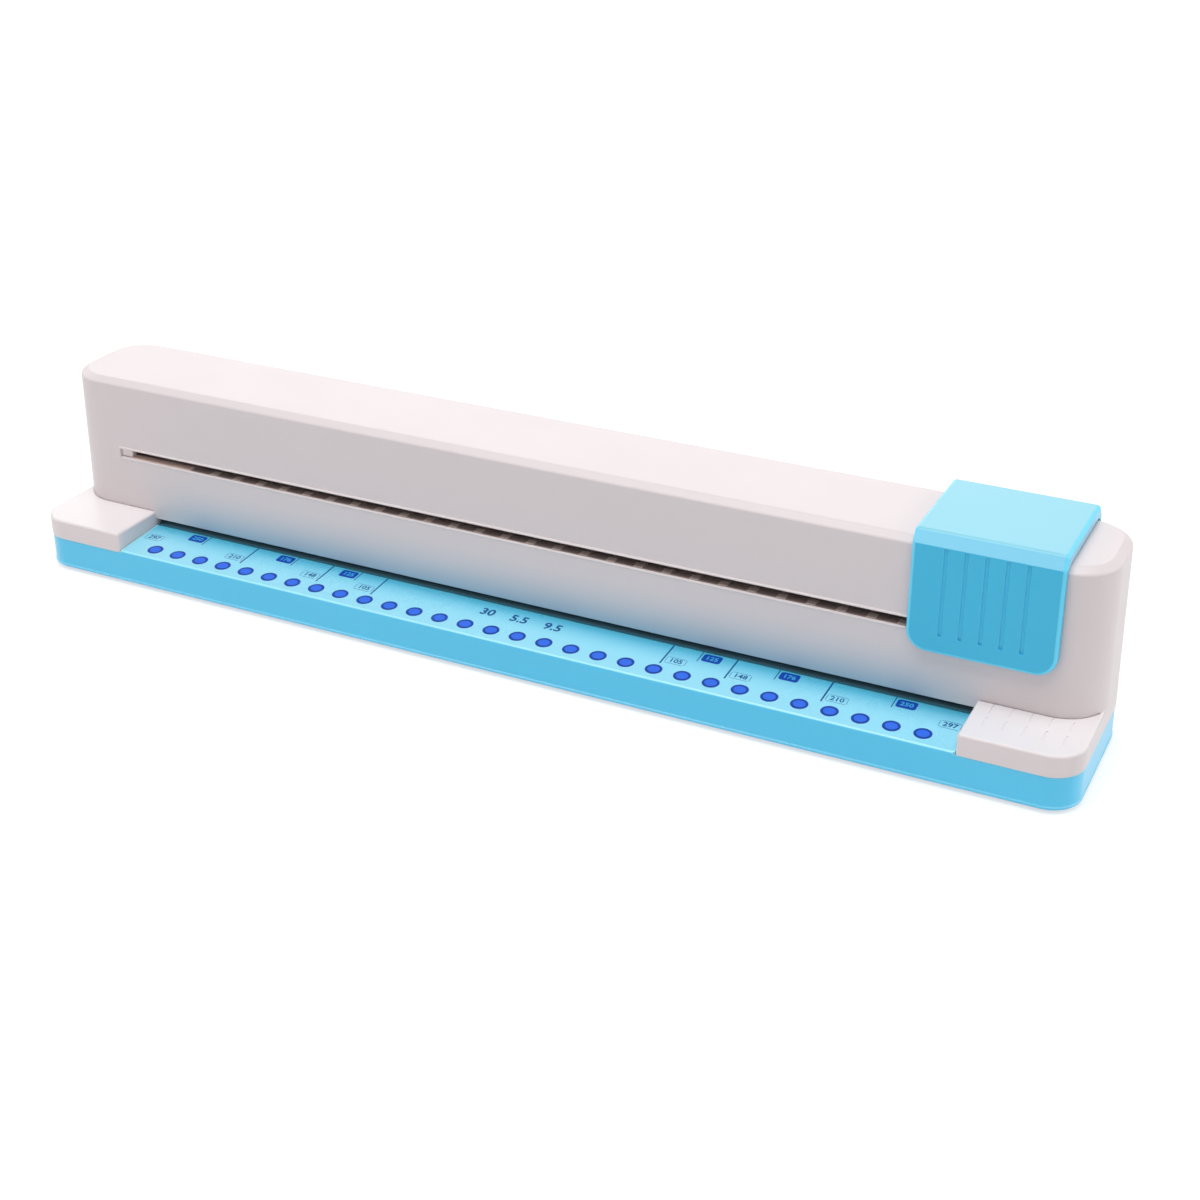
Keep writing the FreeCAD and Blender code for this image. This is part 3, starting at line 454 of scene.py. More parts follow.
# %% Drawn steel: streaks along the direction of rolling or drawing
@effect("Colour", "Roughness", "Height")
def drawn_steel(tree, stretch=(1.0, 1.0, 1.0), streak_scale=900.0, colour=(0.6, 0.6, 0.6, 1),
                stain_colour=(0.4, 0.38, 0.36, 1), stain=0.3, roughness=0.35, variation=0.12):
    """Streaks along one direction, as a height and as a colour and roughness change."""
    stretched = node(tree, "VectorMath", (place(tree), stretch), operation="MULTIPLY")
    streaks = noise(stretched, streak_scale, 4.0, 0.65)
    stains = ((noise(place(tree), 140.0, 5.0, 0.6) - 0.42) * 3.0).held()
    share = (stains * stain).held()
    shade = (streaks - 0.5) * 0.5 + 0.5
    rough = (streaks - 0.5) * variation * 2.0 + roughness + share * 0.15
    return mixed(0.35, mixed(share, colour, stain_colour), shade, "OVERLAY"), rough.held(), streaks


# %% Foam cells and printing ink
@effect("Colour", "Height", "Roughness")
def foam_cells(tree, cell_scale=1500.0, colour=(0.03, 0.03, 0.035, 1), crest_colour=(0.08, 0.08, 0.09, 1)):
    """Skin of a foam sheet: small cells with a few larger creases between them."""
    cells = node(tree, "TexVoronoi", {"Vector": place(tree), "Scale": cell_scale}, "Distance",
                 feature="SMOOTH_F1")
    height = (1.0 - cells) * noise(place(tree), cell_scale * 0.35, 5.0)
    tips = ((height - 0.25) * 2.6).held()
    return mixed(tips, colour, crest_colour), height, 0.85 - tips * 0.25


@effect("Colour", "Roughness", "Height")
def printed_ink(tree, colour=(0.06, 0.12, 0.6, 1), thin_colour=(0.1, 0.3, 0.8, 1), amount=0.4):
    """Printed ink: tone that varies with how thickly the ink lies."""
    film = noise(place(tree), 1800.0, 4.0, 0.65)
    thin = ((film - 0.45) * 3.0).held()
    return mixed((thin * amount).held(), colour, thin_colour), film * 0.2 + 0.32, film


print("shared effects:", len(bpy.data.node_groups))

# %% [markdown]
# ## Finishes
#
# The housing is white plastic with a satin gloss.  The base and the cap are the same sky
# blue, and the cap is the glossier of the two, so it gets a clear coat.  A shade that a
# shared group gives goes to the base colour, and only plain numbers sit on the sockets for
# coat, index of refraction and sheen.  A zone is a mask with its own tone, and the zones are
# painted light and shade, for example the lighter tops and fronts of the wings, painted blue
# shade on the foot of the tower, painted sheen on the cap's bevel and top, and a painted
# highlight on the rim of the cap's plates.

# %% Helpers that place a group and lay tones over each other
def placed(tree, group, **values):
    """Node of a group with values on its named inputs; gives its outputs by name."""
    made = setup(tree.nodes.new("ShaderNodeGroup"), node_tree=group)
    for word, value in values.items():
        feed(tree, made.inputs[socket_label(word)], value)
    return {socket.name: Wire(tree, socket) for socket in made.outputs}


def toned(shade, zones):
    """Colour with another tone laid over it in each zone, given as group, tone and inputs."""
    for group, tone, values in zones:
        shade = mixed(placed(shade.tree, group, **values)["Mask"], shade, tone)
    return shade


def surfaced(shade, surface, bump, depth, plain):
    """Give a shader its colour, the roughness and bump of a surface, and its plain values."""
    tree = shade.tree
    bumped = node(tree, "Bump", {"Strength": bump, "Distance": depth, "Height": surface["Height"]})
    on_shader(tree, {"Base Color": shade, "Roughness": surface["Roughness"], "Normal": bumped, **plain})


# %% Moulded plastics
grain_depth, dust_tone = 0.00005, (0.80, 0.79, 0.77)


def moulded(name, colour, other, worn, roughness, coat=0.0, coat_roughness=0.1, grain=0.05, drift=0.5,
            dust=0.02, wear=0.45, unevenness=1.0, variation=0.09, zones=()):
    """Opaque moulded plastic with grain, drift in tone, rubbed edges with a painted highlight, zones of
    painted light and shade, and a little dust.
    """
    tree = new_finish(name)
    drifting = placed(tree, tone_drift, colour=colour, other_colour=other, amount=drift)
    surface = placed(tree, mould_grain, roughness=roughness, variation=variation)
    rub = {"radius": 0.0007, "amount": wear, "unevenness": unevenness}
    shade = toned(drifting["Colour"], (*zones, (edge_wear, worn, rub),
                                       (settled_dust, dust_tone, {"amount": dust})))
    surfaced(shade, surface, grain, grain_depth,
             {"IOR": 1.46, "Coat Weight": coat, "Coat Roughness": coat_roughness})


# Reach of the painted blue shade on the foot of the tower, over the deck.
deck_light = {"foot": 0.0165, "gone_above": 0.0330, "half_length": 0.1492, "end_fade": 0.024,
              "front": -0.0085}
# Painted light and shade on the white shell: lighter wing fronts, painted blue shade on the foot of the
# tower, and lighter wing tops; its edges get a painted highlight too.
shell_zones = ((front_tint, (0.802, 0.718, 0.726), {"full_before": -0.0298, "gone_behind": -0.0272}),
               (foot_glow, (0.36, 0.485, 0.60), deck_light),
               (low_tops, (0.835, 0.785, 0.797), {"under": 0.0196}))
moulded("white_shell", (0.745, 0.672, 0.682), (0.722, 0.650, 0.661), (0.90, 0.86, 0.86), 0.36,
        grain=0.10, wear=0.25, zones=shell_zones)
moulded("white_plug", (0.90, 0.80, 0.79), (0.84, 0.74, 0.73), (0.93, 0.86, 0.85), 0.5)


def above(height, softness=0.00025):
    """Inputs of the height mask for all that lies over a height."""
    return {"lower": 0.0, "upper": height, "softness": softness}


# The blue deck is lighter over a height, on the platform, as a painted highlight and sheen, and its edges
# get a painted highlight.
moulded("blue_base", (0.085, 0.625, 0.945), (0.075, 0.595, 0.915), (0.50, 0.90, 1.0), 0.34, coat=0.45,
        coat_roughness=0.22, wear=0.7, unevenness=0.4,
        zones=((height_rims, (0.36, 0.84, 0.97), above(0.01235)),))
# Painted light on the cap: painted sheen on its bevel, another painted tone on its top, and a painted
# highlight along the rim of each plate.
cap_plate = {"middle": (0.1489, 0.0, 0.0925), "half_size": (0.0223, 10.0, 0.0600), "corner": 0.0065,
             "width": 0.0013}
cap_zones = ((height_rims, (0.212, 0.647, 0.881), above(0.0663)),
             (height_rims, (0.190, 0.580, 0.715), above(0.0698, 0.0003)),
             (plate_rim, (0.12, 0.70, 0.98), cap_plate))
moulded("blue_cap", (0.023, 0.496, 0.785), (0.019, 0.474, 0.758), (0.20, 0.75, 0.96), 0.38, coat=0.55,
        coat_roughness=0.42, grain=0.04, dust=0.008, wear=0.35, unevenness=0.5, variation=0.04,
        zones=cap_zones)
# The film on the platform is lighter towards the front and darker towards the tower, as painted light and
# shade.
moulded("cyan_film", (0.092, 0.542, 0.778), (0.084, 0.522, 0.757), (0.36, 0.84, 0.98), 0.28, coat=1.0,
        coat_roughness=0.16, grain=0.04,
        zones=((front_tint, (0.300, 0.785, 0.975), {"full_before": -0.0225, "gone_behind": -0.0090}),))

# %% Fibre, and dark strips of painted shade behind the openings
# Painted light: the comb and the screen behind it are lighter below a height, where light comes in through
# the slot.
low_light = {"lower": 0.0377, "upper": 0.5, "softness": 0.0026}
moulded("comb_fibre", (0.50, 0.33, 0.28), (0.43, 0.27, 0.22), (0.95, 0.78, 0.72), 0.55,
        zones=((height_rims, (0.95, 0.76, 0.68), low_light),))
# The screen's dark tone is painted shade of the coils behind the comb.
moulded("painted_coil_shade", (0.16, 0.105, 0.09), (0.13, 0.085, 0.07), (0.50, 0.36, 0.31), 0.6,
        zones=((height_rims, (0.78, 0.60, 0.53), low_light),))
# A dark strip that stands in for the shade in the mouth under the tower: darker still in front of the tower
# as a painted shadow line, and lighter behind.
moulded("mouth_painted_shadow", (0.15, 0.30, 0.36), (0.13, 0.27, 0.32), (0.12, 0.24, 0.28), 0.45, wear=0.1,
        zones=((front_tint, (0.018, 0.14, 0.20), {"full_before": -0.0103, "gone_behind": -0.0088}),))
# Strips on the slot floors stand in for the shaded floor: brown at the ends as painted shade with a painted
# brown reflection, darker in the middle as painted shade of the coils, with paler bars of painted light.
moulded("floor_shade_brown", (0.78, 0.56, 0.49), (0.68, 0.47, 0.41), (0.86, 0.68, 0.62), 0.55)
moulded("floor_light_bar", (0.58, 0.44, 0.39), (0.45, 0.34, 0.30), (0.66, 0.52, 0.47), 0.6, drift=0.9)
moulded("floor_coil_shade", (0.26, 0.19, 0.17), (0.21, 0.15, 0.13), (0.42, 0.33, 0.30), 0.6)


# %% Clear door plastic
def clear_plastic(name, colour, other, clearness, roughness, zones=()):
    """See-through moulded plastic with a frosted grain, and painted shade in the zones given."""
    tree = new_finish(name)
    drifting = placed(tree, tone_drift, colour=colour, other_colour=other, amount=0.6, cloud_scale=30.0)
    surface = placed(tree, mould_grain, roughness=roughness, variation=0.12)
    surfaced(toned(drifting["Colour"], zones), surface, 0.2, grain_depth,
             {"Transmission Weight": clearness, "IOR": 1.49})


# The front of the door's cove gets a darker tone: painted shade in the cove.
clear_plastic("clear_blue", (0.44, 0.86, 1.0), (0.38, 0.80, 0.97), 0.22, 0.16,
              ((front_tint, (0.01, 0.40, 0.62), {"full_before": -0.0165, "gone_behind": -0.0095}),))
# The lavender tone of the frosted band is a painted shadow on the door's sloping rear band.
clear_plastic("frosted_blue_shade", (0.46, 0.58, 0.84), (0.40, 0.54, 0.80), 0.20, 0.4)

# %% Foam pad
cells = placed(new_finish("black_pad"), foam_cells, colour=(0.020, 0.019, 0.024),
               crest_colour=(0.062, 0.058, 0.068))
surfaced(cells["Colour"], cells, 0.8, 0.00025, {"Sheen Weight": 0.15})


# %% Steels
def steel(name, colour, stain_colour, stain, roughness, stretch=(1.0, 1.0, 1.0), metallic=1.0):
    """Bare or plated steel with streaks along the way it was drawn, rolled or turned."""
    drawn = placed(new_finish(name), drawn_steel, colour=colour, stain_colour=stain_colour, stain=stain,
                   roughness=roughness, stretch=stretch)
    bright = tuple(min(1.0, 1.35 * v + 0.05) for v in colour)
    shade = toned(drawn["Colour"], [(edge_wear, bright, {"radius": 0.0003, "amount": 0.5})])
    surfaced(shade, drawn, 0.15, 0.00004, {"Metallic": metallic})


along_x, along_y, along_z = (0.05, 1.0, 1.0), (1.0, 0.08, 1.0), (1.0, 1.0, 0.06)
steel("steel_plate", (0.50, 0.47, 0.45), (0.30, 0.25, 0.22), 0.45, 0.36, along_x)
steel("dark_steel", (0.16, 0.13, 0.115), (0.08, 0.06, 0.05), 0.5, 0.42, along_x)
steel("pin_steel", (0.120, 0.085, 0.072), (0.06, 0.042, 0.034), 0.5, 0.40, along_z, 0.7)
steel("spring_wire", (0.36, 0.26, 0.22), (0.22, 0.15, 0.12), 0.4, 0.38, metallic=0.7)
steel("roller_steel", (0.62, 0.60, 0.58), (0.45, 0.42, 0.38), 0.3, 0.25, along_y)
steel("screw_steel", (0.58, 0.58, 0.60), (0.42, 0.41, 0.38), 0.35, 0.32)

# %% Inks
for name, colour, thin_colour, amount in (
        ("dot_ink", (0.028, 0.150, 0.80), (0.040, 0.19, 0.85), 0.5),
        ("rim_ink", (0.004, 0.048, 0.36), (0.008, 0.07, 0.44), 0.5),
        ("line_ink", (0.005, 0.080, 0.27), (0.012, 0.12, 0.34), 0.4),
        ("badge_ink", (0.004, 0.055, 0.40), (0.010, 0.085, 0.48), 0.5),
        ("number_ink", (0.06, 0.46, 0.80), (0.08, 0.50, 0.84), 0.3)):
    inked = placed(new_finish(name), printed_ink, colour=colour, thin_colour=thin_colour, amount=amount)
    surfaced(inked["Colour"], inked, 0.1, 0.00002, {"Specular IOR Level": 0.3})
print("finishes:", len(finishes))

# %% [markdown]
# ## Mesh tools
#
# Most of the mouldings are stacks of level outlines: the same rounded rectangle, drawn in a
# little further at each height.  A rounded edge is then only a few more outlines along an
# arc, and its quads follow the surface, which shades better than a bevel on a cut mesh.
# Openings are cut afterwards with exact booleans.  All lengths in these tools are in mm.

# %% Outlines
def arc(x, y, radius, start=0.0, sweep=360.0, steps=24, squeeze=1.0):
    """Points of an arc in degrees, or of a whole circle, which doesn't repeat its first point."""
    turns = [math.radians(start + sweep * i / steps) for i in range(steps + (sweep < 360.0))]
    return [(x + radius * math.cos(t), y + squeeze * radius * math.sin(t)) for t in turns]


def rectangle(x0, x1, y0, y1):
    """Corners of a rectangle, counter-clockwise from front left."""
    return [(x0, y0), (x1, y0), (x1, y1), (x0, y1)]


def outline(box, radii, inset=0.0, steps=14):
    """Rectangle drawn in by an inset, with its own radius at each corner from front right round."""
    x0, x1, y0, y1 = box[0] + inset, box[1] - inset, box[2] + inset, box[3] - inset
    a, b, c, d = (max(radius - inset, 0.02) for radius in radii)
    corners = ((x1 - a, y0 + a, a, -90), (x1 - b, y1 - b, b, 0),
               (x0 + c, y1 - c, c, 90), (x0 + d, y0 + d, d, 180))
    return [point for x, y, radius, start in corners for point in arc(x, y, radius, start, 90, steps)]


def rounded_path(points, radii, steps=5):
    """Open path of 2D points whose inner corners are replaced by arcs of the given radii."""
    path = [points[0]]
    for before, corner, after, radius in zip(points, points[1:], points[2:], radii):
        a, b, c = (Vector(p) for p in (before, corner, after))
        inward, outward = (a - b).normalized(), (c - b).normalized()
        half = inward.angle(outward) / 2
        reach = radius / math.tan(half)
        centre = b + (inward + outward).normalized() * (radius / math.sin(half))
        start, end = b + inward * reach - centre, b + outward * reach - centre
        sweep = start.angle_signed(end)
        for i in range(steps + 1):
            t = -sweep * i / steps
            turned = Vector((start.x * math.cos(t) - start.y * math.sin(t),
                             start.x * math.sin(t) + start.y * math.cos(t)))
            path.append(tuple(centre + turned))
    return path + [points[-1]]


def quarter_arc(radius, steps=5):
    """Insets and drops of a rounded upper edge, from the side to the top."""
    turns = [math.pi / 2 * i / steps for i in range(steps + 1)]
    return [(radius * (1 - math.cos(t)), radius * (1 - math.sin(t))) for t in turns]


# %% Solids
def solid(name, rings):
    """Closed object through rings of 3D points, all of the same count, with flat ends."""
    count, points = len(rings[0]), [p for ring in rings for p in ring]
    faces = []
    for low in range(0, len(points) - count, count):
        for i in range(count):
            j = (i + 1) % count
            faces.append((low + i, low + j, low + count + j, low + count + i))
    faces.append(tuple(range(count))[::-1])
    faces.append(tuple(range(len(points) - count, len(points))))
    mesh = bpy.data.meshes.new(name)
    mesh.from_pydata([(x * mm, y * mm, z * mm) for x, y, z in points], [], faces)
    mesh.validate()
    return linked(name, mesh)


def stack(levels, axis=2):
    """Solid through flat rings, each with its place along axis 0, 1 or 2, which is X, Y or Z."""
    return solid("stack", [[(*p[:axis], along, *p[axis:]) for p in ring] for ring, along in levels])


def mould(box, radii, levels, steps=14):
    """Solid through one rounded outline, drawn in by an inset at each height."""
    return stack([(outline(box, radii, inset, steps), z) for inset, z in levels])


def prism(section, start, end, axis=0):
    """Solid with the same section at both ends."""
    return stack([(section, start), (section, end)], axis)


def block(x0, x1, y0, y1, z0, z1):
    """Plain block for cutting and joining."""
    return prism(rectangle(x0, x1, y0, y1), z0, z1, 2)


def mirror_copy(piece):
    """The same piece on the other side of the middle."""
    twin = linked("twin", piece.data.copy())
    twin.data.transform(Matrix.Scale(-1, 4, (1, 0, 0)))
    twin.data.flip_normals()
    return twin


# %% Cutting, joining and smoothing
@contextlib.contextmanager
def edited(mesh):
    """Open a mesh for editing, and write it back afterwards."""
    shape = bmesh.new()
    shape.from_mesh(mesh)
    yield shape
    shape.to_mesh(mesh)
    shape.free()


def face_outward(piece):
    """Recalculate the normals so that they face out."""
    with edited(piece.data) as shape:
        bmesh.ops.recalc_face_normals(shape, faces=shape.faces)


def final_mesh(thing):
    """Mesh of an object as it comes out of its modifiers or its curve."""
    bpy.context.view_layer.update()
    return bpy.data.meshes.new_from_object(thing.evaluated_get(bpy.context.evaluated_depsgraph_get()))


def settle(piece):
    """Apply every modifier of a piece to its mesh."""
    final = final_mesh(piece)
    piece.modifiers.clear()
    old = piece.data
    piece.data = final
    bpy.data.meshes.remove(old)
    return piece


def merged(pieces):
    """One object from several whose meshes don't touch."""
    for piece in pieces:
        face_outward(piece)
    with edited(pieces[0].data) as shape:
        for piece in pieces[1:]:
            shape.from_mesh(piece.data)
            bpy.data.objects.remove(piece)
    return pieces[0]


def combine(piece, tools, operation):
    """Boolean of a piece with each tool in turn; the tools are used up."""
    face_outward(piece)
    for tool in tools:
        face_outward(tool)
        setup(piece.modifiers.new("combine", "BOOLEAN"), operation=operation, solver="EXACT", object=tool)
        settle(piece)
        bpy.data.objects.remove(tool)
    return piece


def cut(piece, *tools):
    """A piece without its tools."""
    return combine(piece, tools, "DIFFERENCE")


def join(piece, *tools):
    """A piece together with its tools."""
    return combine(piece, tools, "UNION")


def clean(piece, degrees=0.2, gap=0.002):
    """Merge doubled points and dissolve edges inside flat faces."""
    with edited(piece.data) as shape:
        bmesh.ops.remove_doubles(shape, verts=shape.verts, dist=gap * mm)
        bmesh.ops.dissolve_limit(shape, angle_limit=math.radians(degrees), verts=shape.verts,
                                 edges=shape.edges)
    return piece


def bevelled(piece, width, segments=2, degrees=40.0):
    """Round the edges that turn by more than an angle, and keep the result."""
    setup(piece.modifiers.new("round", "BEVEL"), width=width * mm, segments=segments, limit_method="ANGLE",
          angle_limit=math.radians(degrees), use_clamp_overlap=True)
    return settle(piece)


def finished(piece, name, body, finish, stands_for=(), slot="", degrees=35.0, smooth=True):
    """Name a piece, shade it, give it its finish and let it ride on its body."""
    piece.name = piece.data.name = name
    if smooth:
        piece.data.shade_smooth()
        piece.data.set_sharp_from_angle(angle=math.radians(degrees))
        setup(piece.modifiers.new("normals", "WEIGHTED_NORMAL"), keep_sharp=True, weight=80)
    piece.data.materials.clear()
    piece.data.materials.append(finishes[finish])
    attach(piece, body)
    if stands_for:
        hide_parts(*stands_for)
    print(name, "faces:", len(piece.data.polygons))


# %% [markdown]
# ## Housing
#
# One white moulding makes both wings and the tower.  The tower leans in by half a
# millimetre, and a soft bevel runs round its top.  Both long faces have the slot that the
# tongues of the cap reach through.  The outer forms are stacks of outlines with real
# roundings.  The hollow, the seat for the sheet and the slots are cut out of them.

# %% Sizes of the base and the housing, in mm
half_length, base_front, base_rear = 184.0, -31.2, 28.4
front_radius, rear_radius = 10.0, 14.0
pad_top, seam, platform_front, platform_rear = 1.0, 12.1, 12.9, 14.0
wing_top, wing_inner, wing_edge = 19.2, 149.0, 0.9
tower_front, tower_shoulder, tower_top, tower_draft, tower_bevel = -10.3, 64.8, 66.4, 0.5, 2.6
wall, ceiling, gap_lip = 2.4, 64.0, 16.5
slot_low, slot_high, slot_half, slot_lip = 38.0, 41.0, 162.0, 0.4
punch_line = 9.05
tower_half = base_rear - punch_line
sides = (-1, 1)

base_box = (-half_length, half_length, base_front, base_rear)
base_radii = (front_radius, rear_radius, rear_radius, front_radius)
tower_box, tower_radii = (-half_length, half_length, tower_front, base_rear), (rear_radius,) * 4
wing_box = (wing_inner, half_length, base_front, base_rear)
wing_radii = (front_radius, rear_radius, 0.7, 0.9)
seam_round = ((0.28, 0.0), (0.08, 0.08), (0.0, 0.3))

# %% Outer forms of the housing
edge_path = rounded_path([(0.0, seam), (tower_draft, tower_shoulder),
                          (tower_draft + tower_bevel, tower_top), (12.0, tower_top)], (1.1, 1.6), 6)
housing = mould(tower_box, tower_radii, edge_path[:-1])
wing_levels = [(inset, seam + away) for inset, away in seam_round]
wing_levels += [(inset, wing_top - drop) for inset, drop in quarter_arc(wing_edge)]
right_wing = mould(wing_box, wing_radii, wing_levels)
housing = join(housing, right_wing, mirror_copy(right_wing))
print("housing faces:", len(housing.data.polygons))

# %% Hollow, seat for the sheet and slots
below_seam, hollow_chamfer, inner_corner = seam - 2.0, 0.8, wall + 0.5
hollow = mould(tower_box, tower_radii, [(wall, below_seam), (wall + tower_draft, ceiling - hollow_chamfer),
                                        (wall + tower_draft + hollow_chamfer, ceiling)])
wing_hollow = mould(wing_box, (front_radius, rear_radius, inner_corner, inner_corner),
                    [(wall, below_seam), (wall, wing_top - wall)])
other_hollow = mirror_copy(wing_hollow)
mouth = block(-wing_inner, wing_inner, tower_front - 3.0, punch_line, below_seam, gap_lip)
slot_face = tower_half - tower_draft * (slot_low - seam) / (tower_shoulder - seam)
bead_under, bead_over, bead_proud, bead_slope, slot_floor = 1.05, 0.74, 0.32, 0.4, slot_low - 0.14


def slot_bead(side):
    """Raised bead round a slot, whose outer side slopes so that it catches the light."""
    levels = []
    for inset, reach in ((0.0, slot_face - 0.5), (0.0, slot_face - 0.02),
                         (bead_slope, slot_face + bead_proud)):
        out_x = slot_half + bead_over - inset
        ring = rectangle(-out_x, out_x, slot_low - bead_under + inset, slot_high + bead_over - inset)
        levels.append((ring, punch_line + side * reach))
    return stack(levels, 1)


def slot_tool(side):
    """Cutter for the long slot of the front or the rear face, with a sloped lower lip."""
    near, lip, out = slot_face - wall - 1.0, slot_face - 0.15, slot_face + 2 * slot_lip
    section = [(near, slot_floor), (lip, slot_floor), (out, slot_floor - 1.5 * (out - lip)),
               (out, slot_high), (near, slot_high)]
    return prism([(punch_line + side * y, z) for y, z in section], -slot_half, slot_half)


def foot_line_tool(depth=0.4, width=0.28, inward=0.3):
    """Cutter for the fine shadow line where the tower stands on the right wing."""
    x, y, start = half_length - rear_radius, tower_front + rear_radius, wing_inner + 0.6
    outer = [(start, tower_front - width)] + arc(x, y, rear_radius + width, -90, 65, 10)
    inner = [(start, tower_front + inward)] + arc(x, y, rear_radius - inward, -90, 65, 10)
    return prism(outer + inner[::-1], wing_top - depth, wing_top + 0.02, 2)


housing = join(housing, slot_bead(-1), slot_bead(1))
housing = cut(housing, hollow, wing_hollow, other_hollow, mouth, slot_tool(-1), slot_tool(1))
foot_line = foot_line_tool()
housing = cut(housing, mirror_copy(foot_line), foot_line)
housing = bevelled(clean(housing), 0.16, 2, 50.0)

# %% Short grooves on the right wing
wing_groove_middle, wing_groove_pitch, wing_groove_length = 165.8, 5.8, 5.2
wing_groove_floor, wing_groove_brim = (0.25, wing_top - 0.18), (0.45, wing_top + 0.3)
for index in range(5):
    groove_x = wing_groove_middle + wing_groove_pitch * (index - 2)
    section = [(groove_x + side * half, z) for side, half, z in (
        (-1, *wing_groove_brim), (-1, *wing_groove_floor), (1, *wing_groove_floor), (1, *wing_groove_brim))]
    for rear in (tower_front - 0.6, tower_front - 8.4):
        housing = cut(housing, prism(section, rear - wing_groove_length, rear, 1))
finished(housing, "housing", "base", "white_shell", ("housing_shell",), degrees=30.0)

# %% [markdown]
# ## Base
#
# The blue deck stands under the housing all round, and its edge at the table is rounded.
# Between the wings it rises into the platform, which slopes up to the paper gap.  Its inside
# has the walls of the waste chamber, because the door below can be opened.

# %% Deck
wall_base, deck_thick = 2.2, 2.0
deck_under = seam - deck_thick
edge_round, flange_top, ledge, wall_set = 1.15, 2.25, 0.25, 0.2

deck_levels = [(inset, pad_top + drop) for inset, drop in quarter_arc(edge_round, 6)][::-1]
deck_levels += [(0.0, flange_top), (wall_set, flange_top + ledge)]
deck_levels += [(wall_set + inset, seam - away) for inset, away in seam_round[::-1]]
deck = mould(base_box, base_radii, deck_levels)
deck = cut(deck, mould(base_box, base_radii, [(wall_base, pad_top - 1.0), (wall_base, deck_under)]))

platform_end, platform_half, deck_wall = -2.65, wing_inner - 0.2, base_front + wall_set
platform_path = rounded_path([(deck_wall, deck_under), (deck_wall, platform_front),
                              (tower_front, platform_rear), (platform_end, platform_rear)], (0.9, 2.0), 6)
deck = join(deck, prism(platform_path + [(platform_end, deck_under)], -platform_half, platform_half))

# %% Waste chamber, screw bosses and chute
chamber_box, chamber_round, chamber_wall = (-148.5, 148.5, -23.5, 21.3), (6.0,) * 4, 1.5
chamber = mould(chamber_box, chamber_round, [(0.0, pad_top + 2.0), (0.0, deck_under + 0.5)], 6)
room_levels = [(chamber_wall, 0.0), (chamber_wall, seam + 1.0)]
chamber = cut(chamber, mould(chamber_box, chamber_round, room_levels, 6))
boss_radius, end_boss, long_boss = 2.7, 181.3 - 4.2, 110.0
boss_places = [(x, y) for x in (-end_boss, end_boss) for y in (punch_line - 5, punch_line + 5)]
boss_places += [(x, y) for x in (-long_boss, long_boss) for y in (-25.7, 22.9)]
bosses = [prism(arc(x, y, boss_radius), pad_top + 2.1, deck_under + 0.4, 2) for x, y in boss_places]
deck = join(deck, chamber, merged(bosses))
chute_half_x, chute_half_y = 143.25, 5.5
chute = block(-chute_half_x, chute_half_x, punch_line - chute_half_y, punch_line + chute_half_y,
              deck_under - 1.0, seam + 1.0)
corner_notch = block(148.2, 149.4, base_front - 0.5, base_front + 0.55, seam + 0.05, seam + 1.4)
finished(clean(cut(deck, chute, corner_notch)), "deck", "base", "blue_base", ("base_deck",), degrees=32.0)

# %% [markdown]
# ## Slider cap
#
# The cap is an inverted U of blue plastic.  Its plates lean in a little, a bevel leads up to
# the flat top, and every outer edge is rounded.  Five grooves for the fingers run down each
# plate, and each groove ends in a small dimple.  The outer form is a stack of sections along
# X.  Near both ends each section is drawn in a little, which rounds the rim, and its foot
# rises along an arc, which rounds the lower corners.

# %% Sections of the cap
park, cap_half_length, cap_low, cap_shoulder, cap_top = 148.9, 22.3, 32.5, 66.4, 70.3
cap_out_low, cap_out_shoulder, cap_out_top = 22.15, 21.25, 18.75
cap_in_low, cap_in_shoulder, cap_in_top = 19.61, 19.30, 16.70
corner_round, rim_round, foot_round, shoulder_round, top_round = 6.5, 1.3, 1.2, 0.7, 1.3


def cap_face(z):
    """Half depth of the cap's outer plates at a height."""
    share = (z - cap_low) / (cap_shoulder - cap_low)
    return cap_out_low + (cap_out_shoulder - cap_out_low) * share


def mirrored_section(half_path):
    """Closed section from points of (half depth, z), from the front foot over to the rear foot."""
    front = [(punch_line - half, z) for half, z in half_path]
    return front + [(punch_line + half, z) for half, z in half_path[::-1]]


def cap_section(inset, foot):
    """Outer section of the cap, drawn in by an inset, with its feet at a height."""
    corners = [(9.0, foot), (cap_face(foot) - inset, foot),
               (cap_out_shoulder - inset, cap_shoulder - 0.3 * inset),
               (cap_out_top - 0.55 * inset, cap_top - inset), (0.0, cap_top - inset)]
    return mirrored_section(rounded_path(corners, (foot_round, shoulder_round, top_round), 7)[:-1])


def cap_end_levels():
    """Distances from the end with the inset and the foot's height at each of them."""
    levels = []
    for reach, rise in quarter_arc(corner_round, 16):
        left_over = max(rim_round - reach, 0.0)
        levels.append((reach, rim_round - math.sqrt(rim_round ** 2 - left_over ** 2), cap_low + rise))
    return levels


# %% Cap body
cap_levels = [(cap_section(inset, foot), park - cap_half_length + reach)
              for reach, inset, foot in cap_end_levels()]
cap_levels += [(cap_section(inset, foot), park + cap_half_length - reach)
               for reach, inset, foot in cap_end_levels()[::-1]]
cap = stack(cap_levels, 0)
inner_path = [(cap_in_low, cap_low - 1.0), (cap_in_shoulder, 65.0), (cap_in_top, 67.0)]
cap = cut(cap, prism(mirrored_section(inner_path), park - 30.0, park + 30.0))
cap = bevelled(clean(cap), 0.2, 2, 60.0)
print("cap faces:", len(cap.data.polygons))

